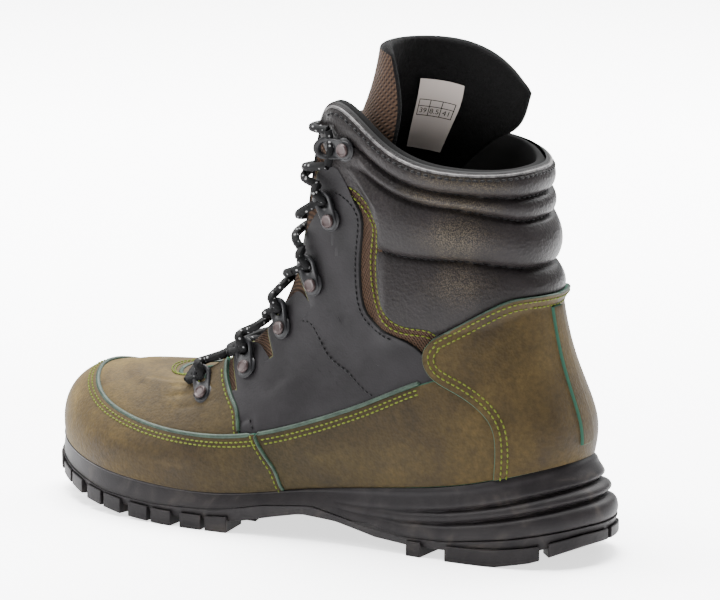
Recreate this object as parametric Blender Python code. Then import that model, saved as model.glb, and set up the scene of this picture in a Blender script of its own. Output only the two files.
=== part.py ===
"""Left hiking boot, size EUR 41: lugged sole, lasted leather upper with padded collar, tongue, lace.

Metres. +X points to the toe, +Y to the wearer's left (the outer side), +Z up. The origin lies on
the ground under the middle of the boot. A rib runs from the sole up to the boot's top edge: u goes
once round the boot (0 heel back, 0.25 outer instep, 0.5 toe, 0.75 inner instep), and v goes up the
rib (0 at the feather edge on the sole, 1 at the collar top, throat edge or throat base).
"""
import math
from collections import namedtuple

import bmesh
import bpy
import numpy as np
from mathutils import Matrix, Vector

# Driving dimensions of the last and the sole.
SOLE_LENGTH = 0.308
BALL_WIDTH = 0.108
SHAFT_HEIGHT = 0.196
TOE_CENTRE = -0.0045
UPPER_WALL = 0.0024
COLLAR_PAD = 0.0030
GAP = 0.0003
SEAT_GAP = 0.0005

# Sizes of the pieces laid on the upper.
PANEL_SEAT = 0.0010
SIDE_SEAT = 0.0015
GUARD_THICKNESS = 0.0023
COUNTER_SEAT = 0.0014
COUNTER_THICKNESS = 0.0028
QUARTER_THICKNESS = 0.0012

# Sole sizes.
LIP_REACH = 0.0028
OUTSOLE_REACH = 0.0008
LUG_LENGTH = 0.0118
SIPE = 0.0022
NOTCH = 0.0052
INSOLE_THICKNESS = 0.0040

# Tongue, lace and hardware sizes.
TONGUE_THICKNESS = 0.0060
LACE_RADIUS = 0.0021
RIVET_RADIUS = 0.0033
RIVET_TOP = 0.0024
RIVET_HEIGHT = 0.0014
EYE_REACH = 0.0098
EYE_OUTER = 0.0058
EYE_INNER = 0.0033

# Mesh fineness: columns round the boot, sides of a lace, sides of a rivet.
COLUMNS = 48
LACE_SIDES = 6
RIVET_SIDES = 8

Station = namedtuple("Station", "place along height outer inner inner_lift", defaults=(0.0,))

# Rings of the last, a row for each rib: share of SOLE_LENGTH from the heel, share of
# SHAFT_HEIGHT, half widths to the outer and inner side as shares of BALL_WIDTH, and how much
# higher the inner side stands.
FEATHER = [
    Station("heel back", 0.046, 0.245, 0.000, 0.000),
    Station("heel corner", 0.078, 0.231, 0.232, 0.240),
    Station("heel side", 0.180, 0.186, 0.333, 0.333),
    Station("arch rear", 0.320, 0.153, 0.343, 0.306),
    Station("arch front", 0.457, 0.126, 0.361, 0.306),
    Station("ball rear", 0.595, 0.097, 0.435, 0.407),
    Station("ball front", 0.735, 0.101, 0.465, 0.468),
    Station("toe corner", 0.882, 0.131, 0.366, 0.398),
    Station("toe tip", 0.976, 0.167, 0.000, 0.000),
]
BELLY = [
    Station("heel back", 0.043, 0.318, 0.000, 0.000),
    Station("heel corner", 0.074, 0.317, 0.240, 0.250),
    Station("heel side", 0.176, 0.292, 0.347, 0.352),
    Station("arch rear", 0.320, 0.245, 0.375, 0.343),
    Station("arch front", 0.457, 0.194, 0.398, 0.352),
    Station("ball rear", 0.595, 0.160, 0.458, 0.426),
    Station("ball front", 0.735, 0.154, 0.482, 0.482),
    Station("toe corner", 0.882, 0.185, 0.375, 0.407),
    Station("toe tip", 0.975, 0.236, 0.000, 0.000),
]
GUARD_LINE = [
    Station("heel back", 0.065, 0.419, 0.000, 0.000),
    Station("heel corner", 0.092, 0.420, 0.222, 0.222),
    Station("heel side", 0.180, 0.419, 0.319, 0.324),
    Station("arch rear", 0.320, 0.360, 0.370, 0.361),
    Station("arch front", 0.457, 0.284, 0.403, 0.389),
    Station("ball rear", 0.588, 0.229, 0.444, 0.426),
    Station("ball front", 0.722, 0.214, 0.458, 0.458),
    Station("toe corner", 0.860, 0.255, 0.335, 0.370),
    Station("toe tip", 0.938, 0.306, 0.000, 0.000),
]
INSTEP = [
    Station("heel back", 0.098, 0.604, 0.000, 0.000),
    Station("heel corner", 0.123, 0.606, 0.185, 0.185),
    Station("heel side", 0.200, 0.609, 0.287, 0.287),
    Station("arch rear", 0.307, 0.583, 0.329, 0.324),
    Station("arch front", 0.392, 0.526, 0.343, 0.333),
    Station("ball rear", 0.516, 0.388, 0.352, 0.343),
    Station("ball front", 0.663, 0.321, 0.333, 0.343),
    Station("toe corner", 0.784, 0.326, 0.222, 0.259),
    Station("toe tip", 0.843, 0.342, 0.000, 0.000),
]
TOP_EDGE = [
    Station("heel back", 0.126, 0.948, 0.000, 0.000),
    Station("heel corner", 0.141, 0.945, 0.185, 0.185, 0.010),
    Station("heel side", 0.206, 0.948, 0.329, 0.324, 0.035),
    Station("arch rear", 0.327, 1.003, 0.356, 0.352, 0.025),
    Station("arch front", 0.445, 1.065, 0.278, 0.278),
    Station("ball rear", 0.497, 0.683, 0.245, 0.245),
    Station("ball front", 0.592, 0.454, 0.240, 0.242),
    Station("toe corner", 0.697, 0.340, 0.215, 0.222),
    Station("toe tip", 0.739, 0.336, 0.000, 0.000),
]
# Widest outline of the sole's side; its heights come from the lines under it.
SOLE_SIDE = [
    Station("heel back", -0.008, 0.0, 0.000, 0.000),
    Station("heel corner", 0.034, 0.0, 0.269, 0.269),
    Station("heel side", 0.149, 0.0, 0.384, 0.384),
    Station("arch rear", 0.302, 0.0, 0.389, 0.343),
    Station("arch front", 0.443, 0.0, 0.407, 0.343),
    Station("ball rear", 0.587, 0.0, 0.477, 0.444),
    Station("ball front", 0.731, 0.0, 0.500, 0.500),
    Station("toe corner", 0.881, 0.0, 0.394, 0.426),
    Station("toe tip", 0.992, 0.0, 0.000, 0.000),
]

Line = namedtuple("Line", "along height")

# Heights above the ground, in shares of SOLE_LENGTH along and metres up.
PARTING_LINE = [
    Line(0.00, 0.0195), Line(0.10, 0.0135), Line(0.20, 0.0092), Line(0.28, 0.0084),
    Line(0.36, 0.0120), Line(0.44, 0.0175), Line(0.52, 0.0155), Line(0.60, 0.0106),
    Line(0.72, 0.0094), Line(0.82, 0.0112), Line(0.92, 0.0168), Line(1.00, 0.0232),
]
TREAD_LINE = [
    Line(0.00, 0.0110), Line(0.06, 0.0034), Line(0.12, 0.0000), Line(0.28, 0.0000),
    Line(0.70, 0.0000), Line(0.78, 0.0016), Line(0.86, 0.0050), Line(0.93, 0.0098), Line(1.00, 0.0155),
]

PLATE_LINE = [
    Line(0.00, 0.0135), Line(0.06, 0.0082), Line(0.13, 0.0050), Line(0.27, 0.0045),
    Line(0.33, 0.0060), Line(0.40, 0.0110), Line(0.46, 0.0126), Line(0.51, 0.0096),
    Line(0.56, 0.0062), Line(0.60, 0.0046), Line(0.70, 0.0046), Line(0.78, 0.0062),
    Line(0.86, 0.0094), Line(0.93, 0.0134), Line(1.00, 0.0188),
]

Ridge = namedtuple("Ridge", "share out")

# Profile of the sole's side: share of the way up it, and metres out where the heel's ridges are.
SOLE_PROFILE = [
    Ridge(0.00, 0.0000), Ridge(0.16, 0.0004), Ridge(0.30, 0.0000), Ridge(0.40, -0.0016),
    Ridge(0.50, 0.0004), Ridge(0.62, -0.0016), Ridge(0.74, 0.0004), Ridge(0.86, 0.0000),
    Ridge(0.96, 0.0000),
]
SOLE_FLARE = 1.6
RIDGE_FADE = (0.10, 0.24)
LIP_BEVEL = 0.0010

# Edges of the panels, as places up the ribs, one for each column of the mesh round the boot.
PANEL_FOOT = 0.012
GUARD_TOP = 0.512
GUARD_COLUMNS = (5, 13)
SEAM_GAP = 0.0012
SEAM_DROP = 0.016
COUNTER_FRONT = (0.060, 0.410, 0.500)
COUNTER_NOSE = 0.600
COUNTER_TOP = (0.765, 0.764, 0.762, 0.756, 0.740, 0.720, 0.700, 0.676, 0.652)
QUARTER_TOP = (0.585, 0.676, 0.712, 0.758, 0.905, 0.940, 0.960, 0.965, 0.965, 0.965, 0.965)
QUARTER_FOOT = ((0.160, 0.295, 0.345, 0.380, 0.398), (0.524, 0.524, 0.725, 0.885, 0.940))

TongueRow = namedtuple("TongueRow", "along height half reach_outer reach_inner")

# Sections up the tongue: the place of its front, its half width and how far its two wings reach
# back, as shares of SOLE_LENGTH, SHAFT_HEIGHT and BALL_WIDTH.
TONGUE = [
    TongueRow(0.788, 0.3247, 0.130, 0.050, 0.050),
    TongueRow(0.739, 0.3207, 0.160, 0.075, 0.075),
    TongueRow(0.682, 0.3327, 0.195, 0.130, 0.130),
    TongueRow(0.600, 0.4207, 0.215, 0.190, 0.190),
    TongueRow(0.530, 0.5527, 0.232, 0.240, 0.240),
    TongueRow(0.489, 0.7097, 0.240, 0.280, 0.290),
    TongueRow(0.466, 0.8647, 0.248, 0.300, 0.370),
    TongueRow(0.444, 0.9847, 0.252, 0.310, 0.470),
    TongueRow(0.411, 1.0967, 0.262, 0.260, 0.560),
    TongueRow(0.380, 1.2247, 0.285, 0.150, 0.540),
]
TONGUE_DROP_OUTER = 0.003
TONGUE_DROP_INNER = 0.024
TONGUE_COLUMNS = 11
TONGUE_ROWS = 13
TONGUE_LEVEL = (0.60, 0.85)
TONGUE_DROP_FROM = 0.7
TONGUE_CORNER = 5
TONGUE_THIN = (0.3, 0.7)
TONGUE_THIN_SHARE = 0.45
TONGUE_EDGE_THIN = 0.5
LABEL_POINTS = 4
LABEL_FOOT = (-0.825, -0.560)
LABEL_HEAD = (-0.705, -0.400)
LABEL_SHARE = (0.760, 0.920)
LABEL_THICKNESS = 0.0006
INSOLE_INSET = 0.0014

# The lugs under the sole.
PLATE_DRAFT = 0.0012
LUG_PAIRS = 5
LUG_PROUD = 0.0014
LUG_SEAT = 0.0010
LUG_WRAP = 0.0017
LUG_TAPER = 0.82
EDGE_LUG_WIDTH = 0.0190
HEEL_LUG_WIDTH = 0.0230
HEEL_LUG_SPANS = [(0.0015, 0.036), (0.040, 0.087), (0.100, 0.108),
                  (-0.0015, -0.036), (-0.040, -0.087), (-0.100, -0.108)]
MIDDLE_ROWS = 6
MIDDLE_START = 0.600
MIDDLE_PITCH = 0.0165
MIDDLE_LENGTH = 0.0090
MIDDLE_SLANT = 0.0060
MIDDLE_NEAR = 0.0030
MIDDLE_FAR = 0.0240

LaceSpot = namedtuple("LaceSpot", "turn place bow panel")

# Rivets of the eyes up the throat's edge, lowest first, as places u and v, and how far the
# run of lace that starts there bows out, and the panel under it; the last is the hook's.
LACE_SPOTS = [
    LaceSpot(0.372, 0.750, 0.0010, 0.0),
    LaceSpot(0.347, 0.838, 0.0010, QUARTER_THICKNESS),
    LaceSpot(0.320, 0.887, 0.0015, QUARTER_THICKNESS),
    LaceSpot(0.285, 0.869, 0.0020, QUARTER_THICKNESS),
    LaceSpot(0.260, 0.900, 0.0020, QUARTER_THICKNESS),
    LaceSpot(0.225, 0.956, 0.0020, 0.0),
]
EYE_SEAT = 0.0050
EYE_GAP = 0.0006
EYE_THICKNESS = 0.0022
EYE_LIFT = 0.0024
EYE_SIDES = 10
HOOK_LIFT = 0.0052
HOOK_LEAN = 1.0
EYE_LEAN = 0.30
LACE_CLEARANCE = 0.0006
LACE_LIFT = 0.0024
THROAT_TURNS = (0.25, 0.49)
LACE_EDGE_LIFT = 0.0026
LACE_EDGE_SHARE = 0.25
LACE_BAR_RISE = 0.0070

CollarSeam = namedtuple("CollarSeam", "at_back at_front swell")

# Seams of the padded collar, as places on the rib at the back and where the rolls end in front.
# The swell belongs to the roll above each seam.
COLLAR_SEAMS = [
    CollarSeam(0.765, 0.695, 0.0046),
    CollarSeam(0.838, 0.850, 0.0048),
    CollarSeam(0.919, 0.940, 0.0028),
    CollarSeam(0.957, 0.964, 0.0030),
    CollarSeam(1.000, 1.000, 0.0),
]
COLLAR_FADE = (0.192, 0.216)
COLLAR_BEND = (0.030, 0.140)
COLLAR_TOP = (0.900, 0.955)
COLLAR_FRONT = 0.040
PADDED_FROM = (0.62, 0.80)
ROLL_STEPS = 4
LOWER_STEPS = 8
LINING_ROWS = 6
PANEL_STEPS = 6
COUNTER_STEPS = 8


def loop_weights(count):
    """Weights that turn points on a closed smooth curve into its control points."""
    ahead = np.roll(np.eye(count), 1, axis=0)
    behind = np.roll(np.eye(count), -1, axis=0)
    return np.linalg.inv((4 * np.eye(count) + ahead + behind) / 6)


def spline_basis(part):
    """The four cubic weights at a share of the way between two control points."""
    return np.stack([
        (1 - part) ** 3,
        3 * part ** 3 - 6 * part ** 2 + 4,
        -3 * part ** 3 + 3 * part ** 2 + 3 * part + 1,
        part ** 3,
    ], axis=-1) / 6


def loop_curve(knots, turns):
    """Points on the smooth closed curve through the knots, once round as turns goes 0 to 1."""
    count = len(knots)
    control = np.tensordot(loop_weights(count), knots, axes=1)
    place = (np.asarray(turns, float) % 1.0) * count
    start = np.floor(place).astype(int)
    basis = spline_basis(place - start)
    picks = (start[..., None] + np.arange(-1, 3)) % count
    return np.einsum("...k,...kc->...c", basis, control[picks])


def open_curve(knots, share):
    """Points on the smooth open curve through evenly spaced knots, knots on axis -2."""
    knots = np.asarray(knots, float)
    count = knots.shape[-2]
    system = np.eye(count)
    for row in range(1, count - 1):
        system[row, row - 1:row + 2] = (1 / 6, 4 / 6, 1 / 6)
    control = np.einsum("ij,...jc->...ic", np.linalg.inv(system), knots)
    first = 2 * control[..., :1, :] - control[..., 1:2, :]
    last = 2 * control[..., -1:, :] - control[..., -2:-1, :]
    control = np.concatenate([first, control, last], axis=-2)
    place = np.clip(np.asarray(share, float), 0, 1) * (count - 1)
    start = np.minimum(np.floor(place).astype(int), count - 2)
    basis = spline_basis(place - start)
    picks = start[..., None] + np.arange(4)
    if control.ndim == 2:
        return np.einsum("...k,...kc->...c", basis, control[picks])
    chosen = np.take_along_axis(control, picks[..., None], axis=-2)
    return np.einsum("...k,...kc->...c", basis, chosen)


def ring_knots(table):
    """World points of a ring: down the outer side to the toe, and back up the inner side."""
    outer = [ring_knot(row, row.outer, 0.0) for row in table]
    inner = [ring_knot(row, -row.inner, row.inner_lift) for row in table[-2:0:-1]]
    return np.array(outer + inner)


def ring_knot(row, half, lift):
    """One point of a ring, set over from the middle by the swing of the last."""
    swing = TOE_CENTRE * max(0.0, 2 * row.along - 1) + half * BALL_WIDTH
    return ((row.along - 0.5) * SOLE_LENGTH, swing, (row.height + lift) * SHAFT_HEIGHT)


LAST_RINGS = [ring_knots(table) for table in (FEATHER, BELLY, GUARD_LINE, INSTEP, TOP_EDGE)]


def last_point(u, v):
    """The last's surface at u round the boot and v up the rib."""
    u, v = np.broadcast_arrays(np.asarray(u, float), np.asarray(v, float))
    rings = np.stack([loop_curve(ring, u) for ring in LAST_RINGS], axis=-2)
    return open_curve(rings, v)


def last_normal(u, v):
    """The outward direction of the last's surface."""
    step = 0.002
    low, high = np.clip(v - step, 0, 1), np.clip(v + step, 0, 1)
    along = last_point(u + step, v) - last_point(u - step, v)
    upward = last_point(u, high) - last_point(u, low)
    normal = np.cross(upward, along)
    return normal / np.linalg.norm(normal, axis=-1, keepdims=True)


def side_turn(u):
    """How far round from the heel back, the same on both sides: 0 to 0.5."""
    u = np.asarray(u, float) % 1.0
    return np.minimum(u, 1 - u)


def fade(value, start, end):
    """Smooth 0 to 1 as the value goes from start to end."""
    share = np.clip((value - start) / (end - start), 0, 1)
    return share * share * (3 - 2 * share)


def collar_seam_places(u):
    """The places on the rib of the collar's seams at u."""
    front = fade(side_turn(u), *COLLAR_BEND)
    return [seam.at_back + (seam.at_front - seam.at_back) * front for seam in COLLAR_SEAMS]


def collar_share(u, v):
    """How much of the collar's padding there is: all at the back, none in front."""
    start, end = COLLAR_FADE
    further = COLLAR_FRONT * fade(np.asarray(v, float), *COLLAR_TOP)
    return 1 - fade(side_turn(u) - further, start, end)


def collar_swell(u, v):
    """How far the collar's rolls stand out of the last."""
    places = collar_seam_places(u)
    swell = np.zeros(np.broadcast(u, v).shape)
    for seam, low, high in zip(COLLAR_SEAMS, places, places[1:]):
        share = np.clip((v - low) / (high - low), 0, 1)
        swell = swell + seam.swell * np.sin(np.pi * share) ** 0.7
    return swell * collar_share(u, v)


def skin(u, v, out=0.0):
    """A point on the upper, out from its outer face."""
    u, v = np.broadcast_arrays(np.asarray(u, float), np.asarray(v, float))
    return last_point(u, v) + last_normal(u, v) * (collar_swell(u, v) + out)[..., None]


def lining(u, v, out=0.0):
    """A point on the inner face of the upper, out towards the leather."""
    u, v = np.broadcast_arrays(np.asarray(u, float), np.asarray(v, float))
    padded = fade(v, *PADDED_FROM) * collar_share(u, v)
    return last_point(u, v) - last_normal(u, v) * (UPPER_WALL + COLLAR_PAD * padded - out)[..., None]


def line_height(table, x):
    """Height of a line of the sole at x."""
    along = np.asarray(x) / SOLE_LENGTH + 0.5
    return np.interp(along, [row.along for row in table], [row.height for row in table])


def make_material(name, colour, roughness, metallic=0.0):
    """A Principled material of one colour."""
    material = bpy.data.materials.new(name)
    material.use_nodes = True
    shader = material.node_tree.nodes["Principled BSDF"]
    shader.inputs["Base Color"].default_value = (*colour, 1.0)
    shader.inputs["Roughness"].default_value = roughness
    shader.inputs["Metallic"].default_value = metallic
    return material


def add_object(name, mesh, material, crease=40):
    """Link a mesh as a named piece, smooth but for its sharp edges."""
    piece = bpy.data.objects.new(name, mesh)
    bpy.context.scene.collection.objects.link(piece)
    mesh.materials.append(material)
    mesh.shade_smooth()
    mesh.set_sharp_from_angle(angle=math.radians(crease))
    return piece


def mesh_from(name, points, faces):
    """A mesh whose faces are turned to point out."""
    mesh = bpy.data.meshes.new(name)
    mesh.from_pydata([tuple(point) for point in points], [], faces)
    body = bmesh.new()
    body.from_mesh(mesh)
    bmesh.ops.triangulate(body, faces=body.faces)
    bmesh.ops.recalc_face_normals(body, faces=body.faces)
    body.to_mesh(mesh)
    body.free()
    return mesh


def band_faces(low, high):
    """Quads between two closed rows of point numbers."""
    count = len(low)
    return [(low[k], low[(k + 1) % count], high[(k + 1) % count], high[k]) for k in range(count)]


def tube_rows(rows):
    """Points and faces of closed rows joined one to the next, and the rows' point numbers."""
    points = np.concatenate(rows)
    numbers = [list(range(len(row) * k, len(row) * (k + 1))) for k, row in enumerate(rows)]
    faces = []
    for low, high in zip(numbers, numbers[1:]):
        faces += band_faces(low, high)
    return points, faces, numbers


def cross_cap(ring):
    """Faces that close a ring straight across, from the outer side to the inner."""
    count = len(ring)
    half = count // 2
    faces = [(ring[0], ring[1], ring[count - 1])]
    faces += [(ring[k], ring[k + 1], ring[count - k - 1], ring[count - k]) for k in range(1, half - 1)]
    faces.append((ring[half - 1], ring[half], ring[half + 1]))
    return faces


def ring_solid(name, rows, material):
    """A solid from closed rows stacked bottom to top, closed straight across at both ends."""
    points, faces, numbers = tube_rows(rows)
    faces += cross_cap(numbers[0]) + cross_cap(numbers[-1])
    return add_object(name, mesh_from(name, points, faces), material)


def panel(name, u, low, high, inside, outside, steps, material):
    """A leather panel on the upper: its columns at u, each from low to high up the rib."""
    share = np.linspace(0, 1, steps + 1)[:, None]
    v = low + (high - low) * share
    turns = np.broadcast_to(u, v.shape)
    faces = []
    grids = [skin(turns, v, inside), skin(turns, v, outside)]
    rows, columns = v.shape
    number = np.arange(2 * rows * columns).reshape(2, rows, columns)
    for row in range(rows - 1):
        for column in range(columns - 1):
            for side in number:
                faces.append((side[row, column], side[row, column + 1],
                              side[row + 1, column + 1], side[row + 1, column]))
    border = [(0, k) for k in range(columns)] + [(k, columns - 1) for k in range(1, rows)]
    border += [(rows - 1, k) for k in range(columns - 2, -1, -1)] + [(k, 0) for k in range(rows - 2, 0, -1)]
    faces += band_faces([number[0][at] for at in border], [number[1][at] for at in border])
    points = np.concatenate([grid.reshape(-1, 3) for grid in grids])
    faces = [tuple(int(corner) for corner in face) for face in faces]
    return add_object(name, mesh_from(name, points, faces), material)


def build_upper(material):
    """The whole leather upper: one hollow wall with the collar's rolls, open above and below."""
    u = np.arange(COLUMNS) / COLUMNS
    seams = collar_seam_places(u)
    outer_places = [seams[0] * step / LOWER_STEPS for step in range(LOWER_STEPS)]
    for low, high in zip(seams, seams[1:]):
        outer_places += [low + (high - low) * step / ROLL_STEPS for step in range(ROLL_STEPS)]
    outer_places.append(seams[-1])
    inner_places = [np.full(COLUMNS, place) for place in np.linspace(1, 0, LINING_ROWS)]
    rows = [skin(u, v) for v in outer_places]
    rows += [lining(u, v) for v in inner_places]
    points, faces, numbers = tube_rows(rows)
    faces += band_faces(numbers[-1], numbers[0])
    return add_object("upper", mesh_from("upper", points, faces), material)


def build_panels(olive, black):
    """Toe guard, side guards, heel counter and the two black quarters, laid on the upper."""
    column = 1 / COLUMNS
    first, last = GUARD_COLUMNS
    toe = np.arange(last, COLUMNS - last + 1) * column
    panel("toe_guard", toe, np.full(toe.shape, PANEL_FOOT), np.full(toe.shape, GUARD_TOP), PANEL_SEAT,
          GUARD_THICKNESS, PANEL_STEPS, olive)
    side = np.arange(first, last + 1) * column
    side[-1] -= SEAM_GAP
    top = np.full(side.shape, GUARD_TOP)
    top[:len(COUNTER_FRONT)] = np.array(COUNTER_FRONT) - SEAM_DROP
    low = np.full(side.shape, PANEL_FOOT)
    panel("side_guard_outer", side, low, top, SIDE_SEAT, GUARD_THICKNESS, PANEL_STEPS, olive)
    panel("side_guard_inner", -side, low, top, SIDE_SEAT, GUARD_THICKNESS, PANEL_STEPS, olive)

    reach = first + len(COUNTER_FRONT)
    counter = np.arange(-reach, reach + 1) * column
    turn = np.abs(counter)
    places = np.arange(first, reach + 1) * column
    low = np.interp(turn, places, [*COUNTER_FRONT, COUNTER_NOSE], left=PANEL_FOOT)
    high = np.interp(turn, np.linspace(0, reach * column, len(COUNTER_TOP)), COUNTER_TOP)
    panel("heel_counter", counter, low, high, COUNTER_SEAT, COUNTER_THICKNESS, COUNTER_STEPS, olive)

    quarter = (reach + np.arange(len(QUARTER_TOP))) * column
    low = np.interp(quarter, *QUARTER_FOOT)
    panel("quarter_outer", quarter, low, np.array(QUARTER_TOP), SEAT_GAP, QUARTER_THICKNESS, PANEL_STEPS, black)
    panel("quarter_inner", -quarter, low, np.array(QUARTER_TOP), SEAT_GAP, QUARTER_THICKNESS, PANEL_STEPS, black)


def sole_ring(u, z, out):
    """The sole's outline at a height, out from its widest line."""
    ring = loop_curve(ring_knots(SOLE_SIDE), u)
    step = 0.002
    along = loop_curve(ring_knots(SOLE_SIDE), u + step) - loop_curve(ring_knots(SOLE_SIDE), u - step)
    normal = np.stack([-along[..., 1], along[..., 0], np.zeros(len(along))], axis=-1)
    normal /= np.linalg.norm(normal, axis=-1, keepdims=True)
    ring = ring + normal * np.broadcast_to(out, u.shape)[..., None]
    ring[:, 2] = z if np.ndim(z) else np.full(len(u), z)
    return ring


def build_midsole(material):
    """The sole's sidewall and body: ridged round the heel, lipped along its top."""
    u = np.arange(COLUMNS) / COLUMNS
    feather = last_point(u, 0.0)
    normal = last_normal(u, 0.0)
    normal[:, 2] = 0
    normal /= np.linalg.norm(normal, axis=-1, keepdims=True)
    lip = feather + normal * LIP_REACH
    side = sole_ring(u, 0.0, 0.0)
    bottom = line_height(PARTING_LINE, side[:, 0])
    top = feather[:, 2] - GAP
    heel = 1 - fade(side_turn(u), *RIDGE_FADE)
    rows = []
    for share, ridge in SOLE_PROFILE:
        blend = share ** SOLE_FLARE
        row = side * (1 - blend) + lip * blend
        outward = sole_ring(u, 0.0, 1.0) - sole_ring(u, 0.0, 0.0)
        outward[:, 2] = 0
        row = row + outward * (ridge * heel)[:, None]
        row[:, 2] = bottom + (top - bottom) * share
        rows.append(row)
    last_row = lip - normal * LIP_BEVEL
    last_row[:, 2] = top
    rows.append(last_row)
    return ring_solid("midsole", rows, material)


def build_outsole(material):
    """The tread plate under the midsole, with lugs round its edge and rows across its middle."""
    u = np.arange(COLUMNS) / COLUMNS
    base = sole_ring(u, 0.0, OUTSOLE_REACH)
    top = line_height(PARTING_LINE, base[:, 0]) - GAP
    bottom = line_height(PLATE_LINE, base[:, 0])
    plate = ring_solid("outsole", [sole_ring(u, bottom, -PLATE_DRAFT), sole_ring(u, top, OUTSOLE_REACH)],
                       material)
    blocks = [edge_lug(start, end, EDGE_LUG_WIDTH) for start, end in edge_lug_spans()]
    blocks += [heel_lug(start, end) for start, end in HEEL_LUG_SPANS]
    blocks += middle_lugs()
    lugs = join_blocks("lug_blocks", blocks)
    union = plate.modifiers.new("lugs", "BOOLEAN")
    union.operation = "UNION"
    union.solver = "EXACT"
    union.use_self = True
    union.object = lugs
    return plate


def join_blocks(name, blocks):
    """One hidden object of all the lug blocks, which the plate is joined with."""
    points, faces = [], []
    for corners in blocks:
        first = len(points)
        count = len(corners) // 2
        points += corners
        low = [first + k for k in range(count)]
        high = [first + count + k for k in range(count)]
        faces += [low[::-1], high] + band_faces(low, high)
    helper = bpy.data.objects.new(name, mesh_from(name, points, faces))
    bpy.context.scene.collection.objects.link(helper)
    helper.hide_render = True
    helper.display_type = "WIRE"
    return helper


def edge_walk(side):
    """The sole's edge from the toe tip back along one side, with the length walked so far."""
    turns = np.linspace(0.5, 0.0 if side > 0 else 1.0, 400)
    edge = sole_ring(turns, 0.0, 0.0)
    steps = np.linalg.norm(np.diff(edge[:, :2], axis=0), axis=1)
    return turns, np.concatenate([[0.0], np.cumsum(steps)])


def edge_lug_spans():
    """Start and end of each lug round the forefoot, as lengths walked from the toe tip."""
    spans = []
    for pair in range(LUG_PAIRS):
        start = NOTCH / 2 + pair * (2 * LUG_LENGTH + SIPE + NOTCH)
        spans.append((start, start + LUG_LENGTH))
        spans.append((start + LUG_LENGTH + SIPE, start + 2 * LUG_LENGTH + SIPE))
    return [(side * start, side * end) for side in (1, -1) for start, end in spans]


def lug_block(turn_start, turn_end, width, taper):
    """Corners of a lug whose outer face follows the sole's edge, bottom row first."""
    turns = np.linspace(turn_start, turn_end, 3)
    outer = sole_ring(turns, 0.0, LUG_PROUD)
    inner = sole_ring(turns, 0.0, -width)[::-1]
    middle = inner.mean(axis=0)
    inner = middle + (inner - middle) * taper
    corners = np.concatenate([outer, inner])
    low, high = corners.copy(), corners.copy()
    low[:, 2] = line_height(TREAD_LINE, corners[:, 0])
    high[:, 2] = line_height(PLATE_LINE, corners[:, 0]) + LUG_SEAT
    high[:3, 2] += LUG_WRAP
    return [tuple(corner) for corner in low] + [tuple(corner) for corner in high]


def edge_lug(start, end, width):
    """A lug on the forefoot's edge between two walked lengths, which are below 0 on the inner side."""
    turns, walked = edge_walk(1 if start + end > 0 else -1)
    places = np.interp([abs(start), abs(end)], walked, turns)
    return lug_block(places[0], places[1], width, LUG_TAPER)


def heel_lug(start, end):
    """A lug on the heel's edge between two lengths walked from the heel back."""
    turns, walked = edge_walk(1 if start + end > 0 else -1)
    places = np.interp(walked[-1] - np.abs([start, end]), walked, turns)
    return lug_block(places[0], places[1], HEEL_LUG_WIDTH, LUG_TAPER)


def middle_lugs():
    """Slanted bars in two rows down the forefoot's middle."""
    blocks = []
    for row in range(MIDDLE_ROWS):
        x = (MIDDLE_START - 0.5) * SOLE_LENGTH + row * MIDDLE_PITCH
        for side in (1, -1):
            near, far = side * MIDDLE_NEAR, side * MIDDLE_FAR
            plan = [(x, near), (x + MIDDLE_LENGTH, near), (x + MIDDLE_LENGTH - MIDDLE_SLANT, far),
                    (x - MIDDLE_SLANT, far)]
            low = [(px, py, float(line_height(TREAD_LINE, px))) for px, py in plan]
            high = [(px, py, float(line_height(PLATE_LINE, px)) + LUG_SEAT) for px, py in plan]
            blocks.append(low + high)
    return blocks


def build_insole(material):
    """The footbed inside the upper, on the midsole."""
    u = np.arange(COLUMNS) / COLUMNS
    edge = lining(u, 0.03)
    normal = last_normal(u, 0.03)
    normal[:, 2] = 0
    edge = edge - normal * INSOLE_INSET
    seat = last_point(u, 0.0)[:, 2]
    low, high = edge.copy(), edge.copy()
    low[:, 2] = seat
    high[:, 2] = seat + INSOLE_THICKNESS
    ring_solid("insole", [low, high], material)


def tongue_section(share):
    """Centre, size and reach of the tongue's section at shares of the way up it."""
    rows = np.array([(row.along, row.height, row.half, row.reach_outer, row.reach_inner) for row in TONGUE])
    return open_curve(rows, share)


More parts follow.
